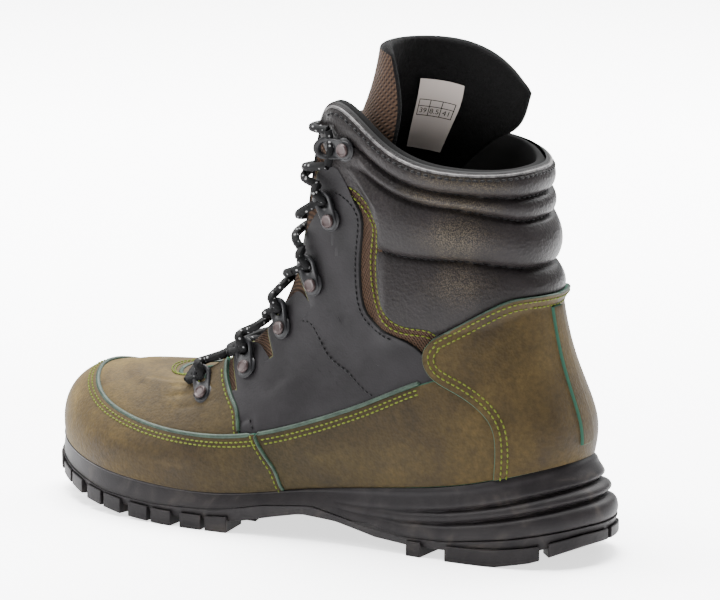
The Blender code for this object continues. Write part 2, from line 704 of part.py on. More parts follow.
def tongue_point(across, share, inward=0.0):
    """A point on the tongue: across is -1 at its inner edge and 1 at its outer edge."""
    across, share = np.broadcast_arrays(np.asarray(across, float), np.asarray(share, float))
    row = tongue_section(share)
    step = 0.01
    ahead = tongue_section(np.clip(share + step, 0, 1)) - tongue_section(np.clip(share - step, 0, 1))
    run = np.stack([ahead[..., 0] * SOLE_LENGTH, ahead[..., 1] * SHAFT_HEIGHT], axis=-1)
    run /= np.linalg.norm(run, axis=-1, keepdims=True)
    front = np.stack([run[..., 1], -run[..., 0]], axis=-1)
    level = fade(share, *TONGUE_LEVEL)[..., None]
    front = front * (1 - level) + np.array([1.0, 0.0]) * level
    front /= np.linalg.norm(front, axis=-1, keepdims=True)
    turn = across * math.pi / 2
    half = row[..., 2] * BALL_WIDTH
    reach = np.where(across > 0, row[..., 3], row[..., 4]) * BALL_WIDTH
    outward = np.stack([half * np.cos(turn), reach * np.sin(turn)], axis=-1)
    outward /= np.linalg.norm(outward, axis=-1, keepdims=True)
    back = -reach * (1 - np.cos(turn)) - inward * outward[..., 0]
    sideways = half * np.sin(turn) - inward * outward[..., 1]
    x = (row[..., 0] - 0.5) * SOLE_LENGTH + back * front[..., 0]
    z = row[..., 1] * SHAFT_HEIGHT + back * front[..., 1]
    corner = np.where(across > 0, TONGUE_DROP_OUTER, TONGUE_DROP_INNER) * np.abs(across) ** TONGUE_CORNER
    return np.stack([x, sideways, z - corner * fade(share, TONGUE_DROP_FROM, 1.0)], axis=-1)


def sheet_solid(name, near, far, material):
    """A closed sheet between two grids of points of the same size."""
    rows, columns = near.shape[:2]
    number = np.arange(2 * rows * columns).reshape(2, rows, columns)
    faces = []
    for side in number:
        quads = zip(side[:-1, :-1].ravel(), side[:-1, 1:].ravel(), side[1:, 1:].ravel(), side[1:, :-1].ravel())
        faces += [tuple(int(corner) for corner in quad) for quad in quads]
    border = [(0, k) for k in range(columns)] + [(k, columns - 1) for k in range(1, rows)]
    border += [(rows - 1, k) for k in range(columns - 2, -1, -1)] + [(k, 0) for k in range(rows - 2, 0, -1)]
    faces += band_faces([int(number[0][at]) for at in border], [int(number[1][at]) for at in border])
    points = np.concatenate([near.reshape(-1, 3), far.reshape(-1, 3)])
    return add_object(name, mesh_from(name, points, faces), material)


def build_tongue(fleece, label):
    """The padded tongue, wrapped round the shin, and the bare label sewn in it."""
    across = np.linspace(-1, 1, TONGUE_COLUMNS)[None, :]
    share = np.linspace(0, 1, TONGUE_ROWS)[:, None]
    thin = 1 - TONGUE_THIN_SHARE * (1 - fade(share, *TONGUE_THIN))
    pad = TONGUE_THICKNESS * thin * (1 - TONGUE_EDGE_THIN * np.abs(across) ** 6)
    sheet_solid("tongue", tongue_point(across, share), tongue_point(across, share, pad), fleece)
    up = np.linspace(0, 1, LABEL_POINTS)[:, None]
    foot, head = (np.linspace(*ends, LABEL_POINTS)[None, :] for ends in (LABEL_FOOT, LABEL_HEAD))
    across = foot + (head - foot) * up
    share = LABEL_SHARE[0] + (LABEL_SHARE[1] - LABEL_SHARE[0]) * up
    near = TONGUE_THICKNESS + 2 * SEAT_GAP
    sheet_solid("size_label", tongue_point(across, share, near),
                tongue_point(across, share, near + LABEL_THICKNESS), label)


def place_at(u, v, out, lean):
    """A frame on the upper: Z outward, and X from straight up to straight ahead as lean goes 0 to 1."""
    point = skin(u, v, out)
    normal = Vector(last_normal(u, v))
    ahead = Vector((lean, 0, 1 - lean))
    ahead = (ahead - normal * ahead.dot(normal)).normalized()
    frame = Matrix((ahead, normal.cross(ahead), normal)).transposed().to_4x4()
    frame.translation = Vector(point)
    return frame


def eye_mesh(rise):
    """A plate round a rivet's seat whose far end rises into a closed loop for the lace."""
    outline, hole = [], []
    flat = EYE_REACH - EYE_INNER
    for step in range(EYE_SIDES):
        turn = 2 * math.pi * (step + 0.5) / EYE_SIDES
        away = Vector((math.cos(turn), math.sin(turn)))
        centre = Vector((EYE_REACH, 0)) if away.x > 0 else Vector((0, 0))
        outline.append(centre + away * (EYE_OUTER if away.x > 0 else EYE_SEAT))
        hole.append(Vector((EYE_REACH, 0)) + away * EYE_INNER)
    rows = []
    for ring, height in ((outline, 0.0), (outline, EYE_THICKNESS), (hole, EYE_THICKNESS), (hole, 0.0)):
        lift = [rise * max(0.0, spot.x - flat) / (EYE_OUTER + EYE_INNER) for spot in ring]
        rows.append(np.array([(spot.x, spot.y, height + up) for spot, up in zip(ring, lift)]))
    points, faces, numbers = tube_rows(rows)
    faces += band_faces(numbers[-1], numbers[0])
    return mesh_from("lace_eye", points, faces)


def rivet_mesh():
    """A flat rivet head with a bevelled rim."""
    turns = 2 * math.pi * np.arange(RIVET_SIDES) / RIVET_SIDES
    rows = []
    for radius, height in ((RIVET_RADIUS, 0.0), (RIVET_RADIUS, RIVET_HEIGHT / 2),
                           (RIVET_TOP, RIVET_HEIGHT)):
        rows.append(np.stack([radius * np.cos(turns), radius * np.sin(turns), np.full(RIVET_SIDES, height)],
                             axis=1))
    points, faces, numbers = tube_rows(rows)
    faces += [tuple(numbers[0]), tuple(numbers[-1])]
    return mesh_from("rivet", points, faces)


def build_hardware(metal, rivet_metal):
    """Hooks at the top, eyes below, and a rivet through each; gives each one's frame."""
    eye, hook, rivet = eye_mesh(EYE_LIFT), eye_mesh(HOOK_LIFT), rivet_mesh()
    frames = {}
    for side, name in ((1, "outer"), (-1, "inner")):
        for count, spot in enumerate(LACE_SPOTS, start=1):
            hooked = count == len(LACE_SPOTS)
            lean = HOOK_LEAN if hooked else EYE_LEAN
            frame = place_at(side * spot.turn, spot.place, spot.panel + EYE_GAP, lean)
            kind, mesh = ("hook", hook) if hooked else ("eye", eye)
            body = mesh.copy()
            body.transform(frame)
            add_object(f"lace_{kind}_{name}_{count}", turned_out(body), metal)
            head = rivet.copy()
            head.transform(frame @ Matrix.Translation((0, 0, EYE_THICKNESS + GAP)))
            add_object(f"rivet_{name}_{count}", turned_out(head), rivet_metal)
            frames[side, count] = frame
    return frames


def turned_out(mesh):
    """The mesh with its faces turned to point out."""
    body = bmesh.new()
    body.from_mesh(mesh)
    bmesh.ops.recalc_face_normals(body, faces=body.faces)
    body.to_mesh(mesh)
    body.free()
    return mesh


def lace_piece(name, path, material):
    """One run of lace as a tube along a path."""
    rows = []
    turns = [2 * math.pi * k / LACE_SIDES for k in range(LACE_SIDES)]
    for number, spot in enumerate(path):
        heading = path[min(number + 1, len(path) - 1)] - path[max(number - 1, 0)]
        side = heading.cross(Vector((1, 0, 1))).normalized()
        up = side.cross(heading).normalized()
        rows.append(np.array([spot + (side * math.cos(a) + up * math.sin(a)) * LACE_RADIUS for a in turns]))
    points, faces, numbers = tube_rows(rows)
    faces += [tuple(numbers[0]), tuple(numbers[-1])]
    return add_object(name, mesh_from(name, points, faces), material)


def lace_spot(frames, side, count, upward):
    """Where a run of lace starts or ends: over or before an eye's loop, above or below a hook's."""
    frame = frames[side, count]
    beyond = EYE_OUTER + LACE_RADIUS + LACE_CLEARANCE
    if count == len(LACE_SPOTS):
        return frame @ Vector((EYE_REACH, 0, LACE_LIFT)) + Vector((0, 0, upward * beyond))
    if upward > 0:
        return frame @ Vector((EYE_REACH + beyond, 0, LACE_LIFT))
    return frame @ Vector((EYE_REACH, side * beyond, LACE_LIFT))


def throat_edge(side, z):
    """A place just off the throat's edge at a height, where a run of lace bends over it."""
    turns = np.linspace(*THROAT_TURNS, 60)
    turn = np.interp(-z, -skin(turns, 1.0)[:, 2], turns)
    return Vector(skin(side * turn, 1.0, LACE_RADIUS + LACE_EDGE_LIFT))


def lace_path(start, end, side, bow):
    """The path of a run from one side's eye over both edges of the throat to the other side's eye."""
    near = throat_edge(side, start.z + (end.z - start.z) * LACE_EDGE_SHARE)
    far = throat_edge(-side, end.z - (end.z - start.z) * LACE_EDGE_SHARE)
    middle = [near.lerp(far, t) + bow * (4 * t * (1 - t)) for t in (0.25, 0.5, 0.75)]
    return [start, near, *middle, far, end]


def build_laces(frames, material):
    """The lace's crossings over the tongue, with a straight bar at the bottom and at the top."""
    count = len(LACE_SPOTS)
    for low in range(1, count):
        high = low + 1
        starts = [lace_spot(frames, side, low, 1) for side in (1, -1)]
        ends = [lace_spot(frames, side, high, -1) for side in (-1, 1)]
        step = (ends[0] + ends[1] - starts[0] - starts[1]).normalized()
        outward = Vector((abs(step.z), 0, abs(step.x))).normalized()
        bow = LACE_SPOTS[low - 1].bow
        over = lace_piece(f"lace_crossing_{low}", lace_path(starts[0], ends[0], 1,
                          outward * (bow + LACE_RADIUS)), material)
        under = lace_piece(f"lace_under_{low}", lace_path(starts[1], ends[1], -1,
                           outward * bow), material)
        under.hide_render = True
        under.display_type = "WIRE"
        union = over.modifiers.new("crossing", "BOOLEAN")
        union.operation = "UNION"
        union.solver = "EXACT"
        union.object = under
    bar = [lace_spot(frames, side, 1, -1) for side in (1, -1)]
    middle = [bar[0].lerp(bar[1], t) + Vector((0, 0, LACE_BAR_RISE)) for t in (0.2, 0.5, 0.8)]
    lace_piece("lace_bar_bottom", [bar[0], *middle, bar[1]], material)
    tops = [lace_spot(frames, side, count, 1) for side in (1, -1)]
    lace_piece("lace_bar_top", lace_path(*tops, 1, Vector((LACE_SPOTS[-1].bow, 0, 0))), material)


def clear_scene():
    """Remove what the file opens with."""
    for thing in list(bpy.data.objects):
        bpy.data.objects.remove(thing, do_unlink=True)


def centre_boot():
    """Move all pieces together so that the origin is under the middle of the boot's box."""
    meshes = [thing.data for thing in bpy.data.objects]
    points = np.array([tuple(vertex.co) for mesh in meshes for vertex in mesh.vertices])
    middle = (points.min(axis=0) + points.max(axis=0)) / 2
    for mesh in meshes:
        mesh.transform(Matrix.Translation((-middle[0], -middle[1], 0)))


def build_boot():
    """Build every piece."""
    olive = make_material("olive_nubuck", (0.16, 0.115, 0.045), 0.75)
    black = make_material("black_leather", (0.035, 0.033, 0.036), 0.55)
    rubber = make_material("black_rubber", (0.030, 0.030, 0.033), 0.65)
    fleece = make_material("black_fleece", (0.012, 0.012, 0.013), 0.95)
    paper = make_material("label_cloth", (0.72, 0.72, 0.70), 0.8)
    foam = make_material("insole_foam", (0.05, 0.05, 0.05), 0.9)
    metal = make_material("black_metal", (0.02, 0.02, 0.02), 0.35, 0.6)
    rivet_metal = make_material("rivet_metal", (0.25, 0.17, 0.16), 0.45, 0.6)
    cord = make_material("lace_cord", (0.02, 0.02, 0.02), 0.8)
    build_upper(black)
    build_panels(olive, black)
    build_midsole(rubber)
    build_outsole(rubber)
    build_insole(foam)
    build_tongue(fleece, paper)
    build_laces(build_hardware(metal, rivet_metal), cord)


clear_scene()
build_boot()
centre_boot()
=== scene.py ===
"""Looks of the left hiking boot: leather, weave, stitches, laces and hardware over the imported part."""
import math
from collections import namedtuple

import bmesh
import bpy
import numpy as np
from mathutils import Matrix, Vector


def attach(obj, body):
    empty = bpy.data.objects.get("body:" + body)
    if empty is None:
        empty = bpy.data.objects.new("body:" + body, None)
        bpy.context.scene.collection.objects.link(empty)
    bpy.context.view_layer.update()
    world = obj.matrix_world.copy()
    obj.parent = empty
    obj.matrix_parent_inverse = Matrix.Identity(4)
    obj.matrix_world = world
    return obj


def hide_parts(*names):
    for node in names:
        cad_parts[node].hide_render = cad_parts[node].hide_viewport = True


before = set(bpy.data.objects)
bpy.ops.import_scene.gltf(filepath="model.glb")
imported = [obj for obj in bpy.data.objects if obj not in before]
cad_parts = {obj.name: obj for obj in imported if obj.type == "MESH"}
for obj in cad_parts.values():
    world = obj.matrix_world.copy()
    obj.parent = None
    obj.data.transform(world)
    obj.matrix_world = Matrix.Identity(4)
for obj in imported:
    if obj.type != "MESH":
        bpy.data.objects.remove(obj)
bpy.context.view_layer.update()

# Camera
# It keeps the photo's angle: behind the heel, on the wearer's left, a little above, slightly rolled.
TURN, RISE, ROLL = (math.radians(angle) for angle in (30.2, 10.75, 0.49))
TARGET = Vector((-0.0156, 0.0, 0.1114))
DISTANCE = 2.0
FOCAL_LENGTH = 205.0
SENSOR = 36.0


def add_object(name, data):
    """A new object, linked in the scene."""
    made = bpy.data.objects.new(name, data)
    bpy.context.scene.collection.objects.link(made)
    return made


def add_camera():
    """The photo's camera, looking at a place inside the boot."""
    ahead = Vector((math.sin(TURN) * math.cos(RISE), -math.cos(TURN) * math.cos(RISE), -math.sin(RISE)))
    level = ahead.cross(Vector((0, 0, 1))).normalized()
    upright = level.cross(ahead)
    right = level * math.cos(ROLL) + upright * math.sin(ROLL)
    above = upright * math.cos(ROLL) - level * math.sin(ROLL)
    camera = add_object("camera", bpy.data.cameras.new("camera"))
    camera.data.lens = FOCAL_LENGTH
    camera.data.sensor_width = SENSOR
    camera.matrix_world = Matrix((right, above, -ahead)).transposed().to_4x4()
    camera.location = TARGET - ahead * DISTANCE
    bpy.context.scene.camera = camera


add_camera()

# Floor and light
# A pale floor that fills the picture and glows more with distance, soft lights from ahead, from
# behind the heel, from above and from the far side, and a dim sky.
FLOOR_SIZE = 14.0
FLOOR_GLOW = (1.6, 4.2)
FLOOR_GLOW_REACH = (0.25, 1.3)
SKY_COLOUR = (0.95, 0.97, 1.0)
SKY_STRENGTH = 0.35
LIGHTS_AIM = Vector((0, 0, 0.1))
Softbox = namedtuple("Softbox", "name place size power")
SOFTBOXES = [
    Softbox("key", (2.0, 0.9, 1.5), 1.2, 80.0),
    Softbox("fill", (-1.9, 1.2, 1.4), 0.9, 7.0),
    Softbox("top", (0.5, -0.3, 2.3), 2.0, 480.0),
    Softbox("back", (-0.3, -1.9, 1.7), 1.2, 90.0),
]


def plain_material(name, colour, roughness, metallic=0.0, gloss=0.10):
    """A Principled material of one colour, and its shader; gloss is its mirror part."""
    material = bpy.data.materials.new(name)
    material.use_nodes = True
    shader = material.node_tree.nodes["Principled BSDF"]
    shader.inputs["Base Color"].default_value = (*colour, 1.0)
    shader.inputs["Roughness"].default_value = roughness
    shader.inputs["Metallic"].default_value = metallic
    shader.inputs["Specular IOR Level"].default_value = gloss
    return material, shader


def build_stage():
    """Floor, softboxes and sky."""
    half = FLOOR_SIZE / 2
    mesh = bpy.data.meshes.new("floor")
    mesh.from_pydata([(-half, -half, 0), (half, -half, 0), (half, half, 0), (-half, half, 0)], [], [(0, 1, 2, 3)])
    floor = add_object("floor", mesh)
    pale, shader = plain_material("floor_paper", (0.88, 0.88, 0.89), 0.6)
    shader.inputs["Emission Color"].default_value = (1.0, 1.0, 1.0, 1.0)
    tree = pale.node_tree
    away = tree.nodes.new("ShaderNodeVectorMath")
    away.operation = "LENGTH"
    glow = tree.nodes.new("ShaderNodeMapRange")
    for key, value in zip(("From Min", "From Max", "To Min", "To Max"), FLOOR_GLOW_REACH + FLOOR_GLOW):
        glow.inputs[key].default_value = value
    tree.links.new(tree.nodes.new("ShaderNodeTexCoord").outputs["Object"], away.inputs[0])
    tree.links.new(away.outputs["Value"], glow.inputs["Value"])
    tree.links.new(glow.outputs["Result"], shader.inputs["Emission Strength"])
    mesh.materials.append(pale)
    for box in SOFTBOXES:
        lamp = bpy.data.lights.new(box.name, "AREA")
        lamp.size = box.size
        lamp.energy = box.power
        holder = add_object(box.name, lamp)
        holder.location = box.place
        holder.rotation_euler = (LIGHTS_AIM - Vector(box.place)).to_track_quat("-Z", "Y").to_euler()
    world = bpy.data.worlds.new("sky")
    world.use_nodes = True
    background = world.node_tree.nodes["Background"]
    background.inputs["Color"].default_value = (*SKY_COLOUR, 1.0)
    background.inputs["Strength"].default_value = SKY_STRENGTH
    bpy.context.scene.world = world


build_stage()

# The last and the shell
# The same rings, ribs and rolls that the part is made from, at a finer step. The shell is the
# woven base under every panel, with the lining inside it; it stands for the upper.
SOLE_LENGTH = 0.308
BALL_WIDTH = 0.108
SHAFT_HEIGHT = 0.196
TOE_CENTRE = -0.0045
UPPER_WALL = 0.0024
COLLAR_PAD = 0.0030
BOOT_SHIFT = np.array([0.002516, 0.002260, 0.0])

# Rings of the last. Their stations run: heel back, heel corner, heel side, arch rear, arch front,
# ball rear, ball front, toe corner, toe tip.
Station = namedtuple("Station", "along height outer inner inner_lift", defaults=(0.0,))


def stations(*rows):
    """The stations of one ring, all in shares of the boot's length, width and height."""
    return [Station(*row) for row in rows]


FEATHER = stations(
    (0.046, 0.245, 0.000, 0.000), (0.078, 0.231, 0.232, 0.240), (0.180, 0.186, 0.333, 0.333),
    (0.320, 0.153, 0.343, 0.306), (0.457, 0.126, 0.361, 0.306), (0.595, 0.097, 0.435, 0.407),
    (0.735, 0.101, 0.465, 0.468), (0.882, 0.131, 0.366, 0.398), (0.976, 0.167, 0.000, 0.000))
BELLY = stations(
    (0.043, 0.318, 0.000, 0.000), (0.074, 0.317, 0.240, 0.250), (0.176, 0.292, 0.347, 0.352),
    (0.320, 0.245, 0.375, 0.343), (0.457, 0.194, 0.398, 0.352), (0.595, 0.160, 0.458, 0.426),
    (0.735, 0.154, 0.482, 0.482), (0.882, 0.185, 0.375, 0.407), (0.975, 0.236, 0.000, 0.000))
GUARD_LINE = stations(
    (0.065, 0.419, 0.000, 0.000), (0.092, 0.420, 0.222, 0.222), (0.180, 0.419, 0.319, 0.324),
    (0.320, 0.360, 0.370, 0.361), (0.457, 0.284, 0.403, 0.389), (0.588, 0.229, 0.444, 0.426),
    (0.722, 0.214, 0.458, 0.458), (0.860, 0.255, 0.335, 0.370), (0.938, 0.306, 0.000, 0.000))
INSTEP = stations(
    (0.098, 0.604, 0.000, 0.000), (0.123, 0.606, 0.185, 0.185), (0.200, 0.609, 0.287, 0.287),
    (0.307, 0.583, 0.329, 0.324), (0.392, 0.526, 0.343, 0.333), (0.516, 0.388, 0.352, 0.343),
    (0.663, 0.321, 0.333, 0.343), (0.784, 0.326, 0.222, 0.259), (0.843, 0.342, 0.000, 0.000))
TOP_EDGE = stations(
    (0.126, 0.948, 0.000, 0.000), (0.141, 0.945, 0.185, 0.185, 0.010), (0.206, 0.948, 0.329, 0.324, 0.035),
    (0.327, 1.003, 0.356, 0.352, 0.025), (0.445, 1.065, 0.278, 0.278), (0.497, 0.683, 0.245, 0.245),
    (0.592, 0.454, 0.240, 0.242), (0.697, 0.340, 0.215, 0.222), (0.739, 0.336, 0.000, 0.000))
SOLE_SIDE = stations(
    (-0.008, 0.0, 0.000, 0.000), (0.034, 0.0, 0.269, 0.269), (0.149, 0.0, 0.384, 0.384),
    (0.302, 0.0, 0.389, 0.343), (0.443, 0.0, 0.407, 0.343), (0.587, 0.0, 0.477, 0.444),
    (0.731, 0.0, 0.500, 0.500), (0.881, 0.0, 0.394, 0.426), (0.992, 0.0, 0.000, 0.000))
CollarSeam = namedtuple("CollarSeam", "at_back at_front swell")
COLLAR_SEAMS = [
    CollarSeam(0.765, 0.695, 0.0046),
    CollarSeam(0.838, 0.850, 0.0048),
    CollarSeam(0.919, 0.940, 0.0028),
    CollarSeam(0.957, 0.964, 0.0030),
    CollarSeam(1.000, 1.000, 0.0),
]
COLLAR_FADE = (0.192, 0.216)
COLLAR_BEND = (0.030, 0.140)
COLLAR_TOP = (0.900, 0.955)
COLLAR_FRONT = 0.040
PADDED_FROM = (0.62, 0.80)
COLLAR_FRONT_EDGE = [(0.147, 0.640), (0.150, 0.702), (0.173, 0.725), (0.196, 0.762), (0.206, 0.800), (0.206, 0.840),
                     (0.199, 0.872), (0.200, 0.893), (0.225, 0.913), (0.247, 0.931), (0.262, 1.000)]
SHELL_COLUMNS = 256
SHELL_ROWS = 90
LINING_ROWS = 40
RIM_ROWS = 6
TWILL_TURN = math.radians(38)
TWILL_STRETCH = 1.6


def unit(vectors):
    """The vectors at length one."""
    return vectors / (np.linalg.norm(vectors, axis=-1, keepdims=True) + 1e-12)


def walk(points):
    """The length walked to each point of a path."""
    return np.concatenate([[0.0], np.cumsum(np.linalg.norm(np.diff(points, axis=0), axis=-1))])


def pairs(u, v):
    """Places from turns and heights, either of which may be one number."""
    return np.stack(np.broadcast_arrays(u, v), axis=-1)


def loop_curve(knots, turns):
    """Points on the smooth closed curve through the knots, once round as turns goes 0 to 1."""
    count = len(knots)
    ahead = np.roll(np.eye(count), 1, axis=0)
    behind = np.roll(np.eye(count), -1, axis=0)
    weights = np.linalg.inv((4 * np.eye(count) + ahead + behind) / 6)
    control = np.tensordot(weights, knots, axes=1)
    place = (np.asarray(turns, float) % 1.0) * count
    start = np.floor(place).astype(int)
    picks = (start[..., None] + np.arange(-1, 3)) % count
    return np.einsum("...k,...kc->...c", spline_basis(place - start), control[picks])


def spline_basis(part):
    """The four cubic weights at a share of the way between two control points."""
    return np.stack([(1 - part) ** 3, 3 * part ** 3 - 6 * part ** 2 + 4,
                     -3 * part ** 3 + 3 * part ** 2 + 3 * part + 1, part ** 3], axis=-1) / 6


def open_curve(knots, share):
    """Points on the smooth open curve through evenly spaced knots, knots on axis -2."""
    knots = np.asarray(knots, float)
    count = knots.shape[-2]
    system = np.eye(count)
    for row in range(1, count - 1):
        system[row, row - 1:row + 2] = (1 / 6, 4 / 6, 1 / 6)
    control = np.einsum("ij,...jc->...ic", np.linalg.inv(system), knots)
    first = 2 * control[..., :1, :] - control[..., 1:2, :]
    last = 2 * control[..., -1:, :] - control[..., -2:-1, :]
    control = np.concatenate([first, control, last], axis=-2)
    place = np.clip(np.asarray(share, float), 0, 1) * (count - 1)
    start = np.minimum(np.floor(place).astype(int), count - 2)
    basis = spline_basis(place - start)
    picks = start[..., None] + np.arange(4)
    if control.ndim == 2:
        return np.einsum("...k,...kc->...c", basis, control[picks])
    chosen = np.take_along_axis(control, picks[..., None], axis=-2)
    return np.einsum("...k,...kc->...c", basis, chosen)


def ring_knot(row, half, lift):
    """One point of a ring, set over from the middle by the swing of the last."""
    swing = TOE_CENTRE * max(0.0, 2 * row.along - 1) + half * BALL_WIDTH
    return ((row.along - 0.5) * SOLE_LENGTH, swing, (row.height + lift) * SHAFT_HEIGHT)


def ring_knots(table):
    """Points of a ring: down the outer side to the toe, and back up the inner side."""
    outer = [ring_knot(row, row.outer, 0.0) for row in table]
    inner = [ring_knot(row, -row.inner, row.inner_lift) for row in table[-2:0:-1]]
    return np.array(outer + inner) + BOOT_SHIFT


LAST_RINGS = [ring_knots(table) for table in (FEATHER, BELLY, GUARD_LINE, INSTEP, TOP_EDGE)]


def last_point(u, v):
    """The last's surface at u round the boot and v up the rib."""
    u, v = np.broadcast_arrays(np.asarray(u, float), np.asarray(v, float))
    return open_curve(np.stack([loop_curve(ring, u) for ring in LAST_RINGS], axis=-2), v)


def last_normal(u, v):
    """The outward direction of the last's surface."""
    step = 0.002
    u, v = np.broadcast_arrays(np.asarray(u, float), np.asarray(v, float))
    low, high = np.clip(v - step, 0, 1), np.clip(v + step, 0, 1)
    along = last_point(u + step, v) - last_point(u - step, v)
    upward = last_point(u, high) - last_point(u, low)
    return unit(np.cross(upward, along))


def side_turn(u):
    """How far round from the heel back, the same on both sides: 0 to 0.5."""
    u = np.asarray(u, float) % 1.0
    return np.minimum(u, 1 - u)


def fade(value, start, end):
    """Smooth 0 to 1 as the value goes from start to end."""
    share = np.clip((value - start) / (end - start), 0, 1)
    return share * share * (3 - 2 * share)


def collar_seam_places(u):
    """The places on the rib of the collar's seams at u."""
    front = fade(side_turn(u), *COLLAR_BEND)
    return [seam.at_back + (seam.at_front - seam.at_back) * front for seam in COLLAR_SEAMS]


def collar_share(u, v):
    """How much of the collar's padding there is: all at the back, none in front."""
    start, end = COLLAR_FADE
    further = COLLAR_FRONT * fade(np.asarray(v, float), *COLLAR_TOP)
    return 1 - fade(side_turn(u) - further, start, end)


def collar_swell(u, v):
    """How far the collar's rolls stand out of the last."""
    places = collar_seam_places(u)
    swell = np.zeros(np.broadcast(u, v).shape)
    for seam, low, high in zip(COLLAR_SEAMS, places, places[1:]):
        share = np.clip((v - low) / (high - low), 0, 1)
        swell = swell + seam.swell * np.sin(np.pi * share) ** 0.7
    return swell * collar_share(u, v)


def skin(u, v, out=0.0):
    """A point on the upper, out from its outer face."""
    u, v = np.broadcast_arrays(np.asarray(u, float), np.asarray(v, float))
    return last_point(u, v) + last_normal(u, v) * (collar_swell(u, v) + out)[..., None]


def lining(u, v, out=0.0):
    """A point on the inner face of the upper."""
    u, v = np.broadcast_arrays(np.asarray(u, float), np.asarray(v, float))
    padded = fade(v, *PADDED_FROM) * collar_share(u, v)
    return last_point(u, v) - last_normal(u, v) * (UPPER_WALL + COLLAR_PAD * padded - out)[..., None]


def cloth_lengths(grid):
    """Lengths along the rows and up the columns of a grid, for weaves and grain."""
    along = np.linalg.norm(np.diff(grid, axis=1), axis=-1).mean(axis=0)
    upward = np.linalg.norm(np.diff(grid, axis=0), axis=-1).mean(axis=1)
    across = np.concatenate([[0.0], np.cumsum(along)])
    height = np.concatenate([[0.0], np.cumsum(upward)])
    return pairs(across[None, :], height[:, None])


def add_piece(name, points, faces, materials, slots=None, lengths=None, crease=50):
    """A smooth shaded piece that rides on the boot, with its cloth lengths as a UV map."""
    mesh = bpy.data.meshes.new(name)
    mesh.from_pydata(np.asarray(points, float).reshape(-1, 3).tolist(), [], faces)
    for material in materials:
        mesh.materials.append(material)
    if slots is not None:
        mesh.polygons.foreach_set("material_index", slots)
    if lengths is not None:
        layer = mesh.uv_layers.new(name="cloth")
        corners = np.empty(len(mesh.loops), int)
        mesh.loops.foreach_get("vertex_index", corners)
        layer.data.foreach_set("uv", np.asarray(lengths, float).reshape(-1, 2)[corners].ravel())
    mesh.update()
    mesh.shade_smooth()
    mesh.set_sharp_from_angle(angle=math.radians(crease))
    piece = add_object(name, mesh)
    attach(piece, "root")
    return piece


def grid_faces(rows, columns, first=0, closed=False):
    """Quads of a grid of point numbers, turned to face out."""
    number = np.arange(rows * columns).reshape(rows, columns) + first
    right = np.roll(number, -1, axis=1) if closed else number[:, 1:]
    left = number if closed else number[:, :-1]
    quads = np.stack([left[:-1], left[1:], right[1:], right[:-1]], axis=-1)
    return quads.reshape(-1, 4).tolist()


def node(tree, kind, links=None, **values):
    """A node of the tree; values set its settings, links its inputs by name or number."""
    made = tree.nodes.new(kind)
    for key, value in values.items():
        setattr(made, key, value)
    for key, value in (links or {}).items():
        target = made.inputs[key]
        if isinstance(value, bpy.types.NodeSocket):
            tree.links.new(value, target)
        else:
            target.default_value = value
    return made


def ramp(tree, value, *stops):
    """Colours between the stops (place, colour); one number stands for a grey."""
    made = node(tree, "ShaderNodeValToRGB", {"Fac": value})
    points = made.color_ramp.elements
    while len(points) < len(stops):
        points.new(0.5)
    for point, (place, colour) in zip(points, stops):
        point.position = place
        point.color = (*(colour if np.ndim(colour) else (colour,) * 3), 1.0)
    return made.outputs["Color"]


def noise(tree, place, scale, detail, roughness=0.5, distortion=0.0):
    """Noise at a place, from 0 to 1."""
    return node(tree, "ShaderNodeTexNoise", {"Vector": place, "Scale": scale, "Detail": detail,
                                             "Roughness": roughness, "Distortion": distortion}).outputs["Fac"]


def calc(tree, operation, *values):
    """One step of arithmetic on values of the tree."""
    return node(tree, "ShaderNodeMath", dict(enumerate(values)), operation=operation).outputs[0]


def blend(tree, kind, first, second):
    """Two colours multiplied or added."""
    return node(tree, "ShaderNodeMix", {0: 1.0, 6: first, 7: second}, data_type="RGBA", blend_type=kind).outputs[2]


def textured(name, colour, roughness, gloss=0.10):
    """A plain material to build on, with its shader, its tree and the place on the boot."""
    material, shader = plain_material(name, colour, roughness, gloss=gloss)
    return material, shader, material.node_tree, node(material.node_tree, "ShaderNodeTexCoord").outputs["Object"]


def dress(tree, shader, tone, height, strength, distance):
    """Gives the shader its colour and its relief."""
    bump = node(tree, "ShaderNodeBump", {"Height": height, "Strength": strength, "Distance": distance})
    tree.links.new(tone, shader.inputs["Base Color"])
    tree.links.new(bump.outputs["Normal"], shader.inputs["Normal"])


def woven_material(name, dark, light, pitch):
    """A diagonal twill of thick yarn, from the cloth lengths."""
    material, shader, tree, place = textured(name, light, 0.85)
    cloth = node(tree, "ShaderNodeUVMap", uv_map="cloth").outputs["UV"]
    turned = node(tree, "ShaderNodeMapping", {"Vector": cloth, "Rotation": (0, 0, TWILL_TURN)}).outputs["Vector"]
    split = node(tree, "ShaderNodeSeparateXYZ", {"Vector": turned})
    waves = [calc(tree, "SINE", calc(tree, "MULTIPLY", split.outputs[axis], 2 * math.pi / scale))
             for axis, scale in (("X", pitch), ("Y", pitch * TWILL_STRETCH))]
    yarn = calc(tree, "ADD", calc(tree, "MULTIPLY", *waves), waves[0])
    height = node(tree, "ShaderNodeMapRange", {"Value": yarn, "From Min": -2.0, "From Max": 2.0}).outputs["Result"]
    total = calc(tree, "ADD", height, calc(tree, "MULTIPLY", noise(tree, place, 900.0, 3.0), 0.35))
    dress(tree, shader, ramp(tree, total, (0.30, dark), (0.95, light)), total, 0.8, 0.0005)
    return material


SHELL_CLOTH = woven_material("brown_weave", (0.0012, 0.0006, 0.0004), (0.038, 0.0215, 0.0130), 0.0012)
LINING_CLOTH, _ = plain_material("black_lining", (0.002, 0.002, 0.002), 0.95)


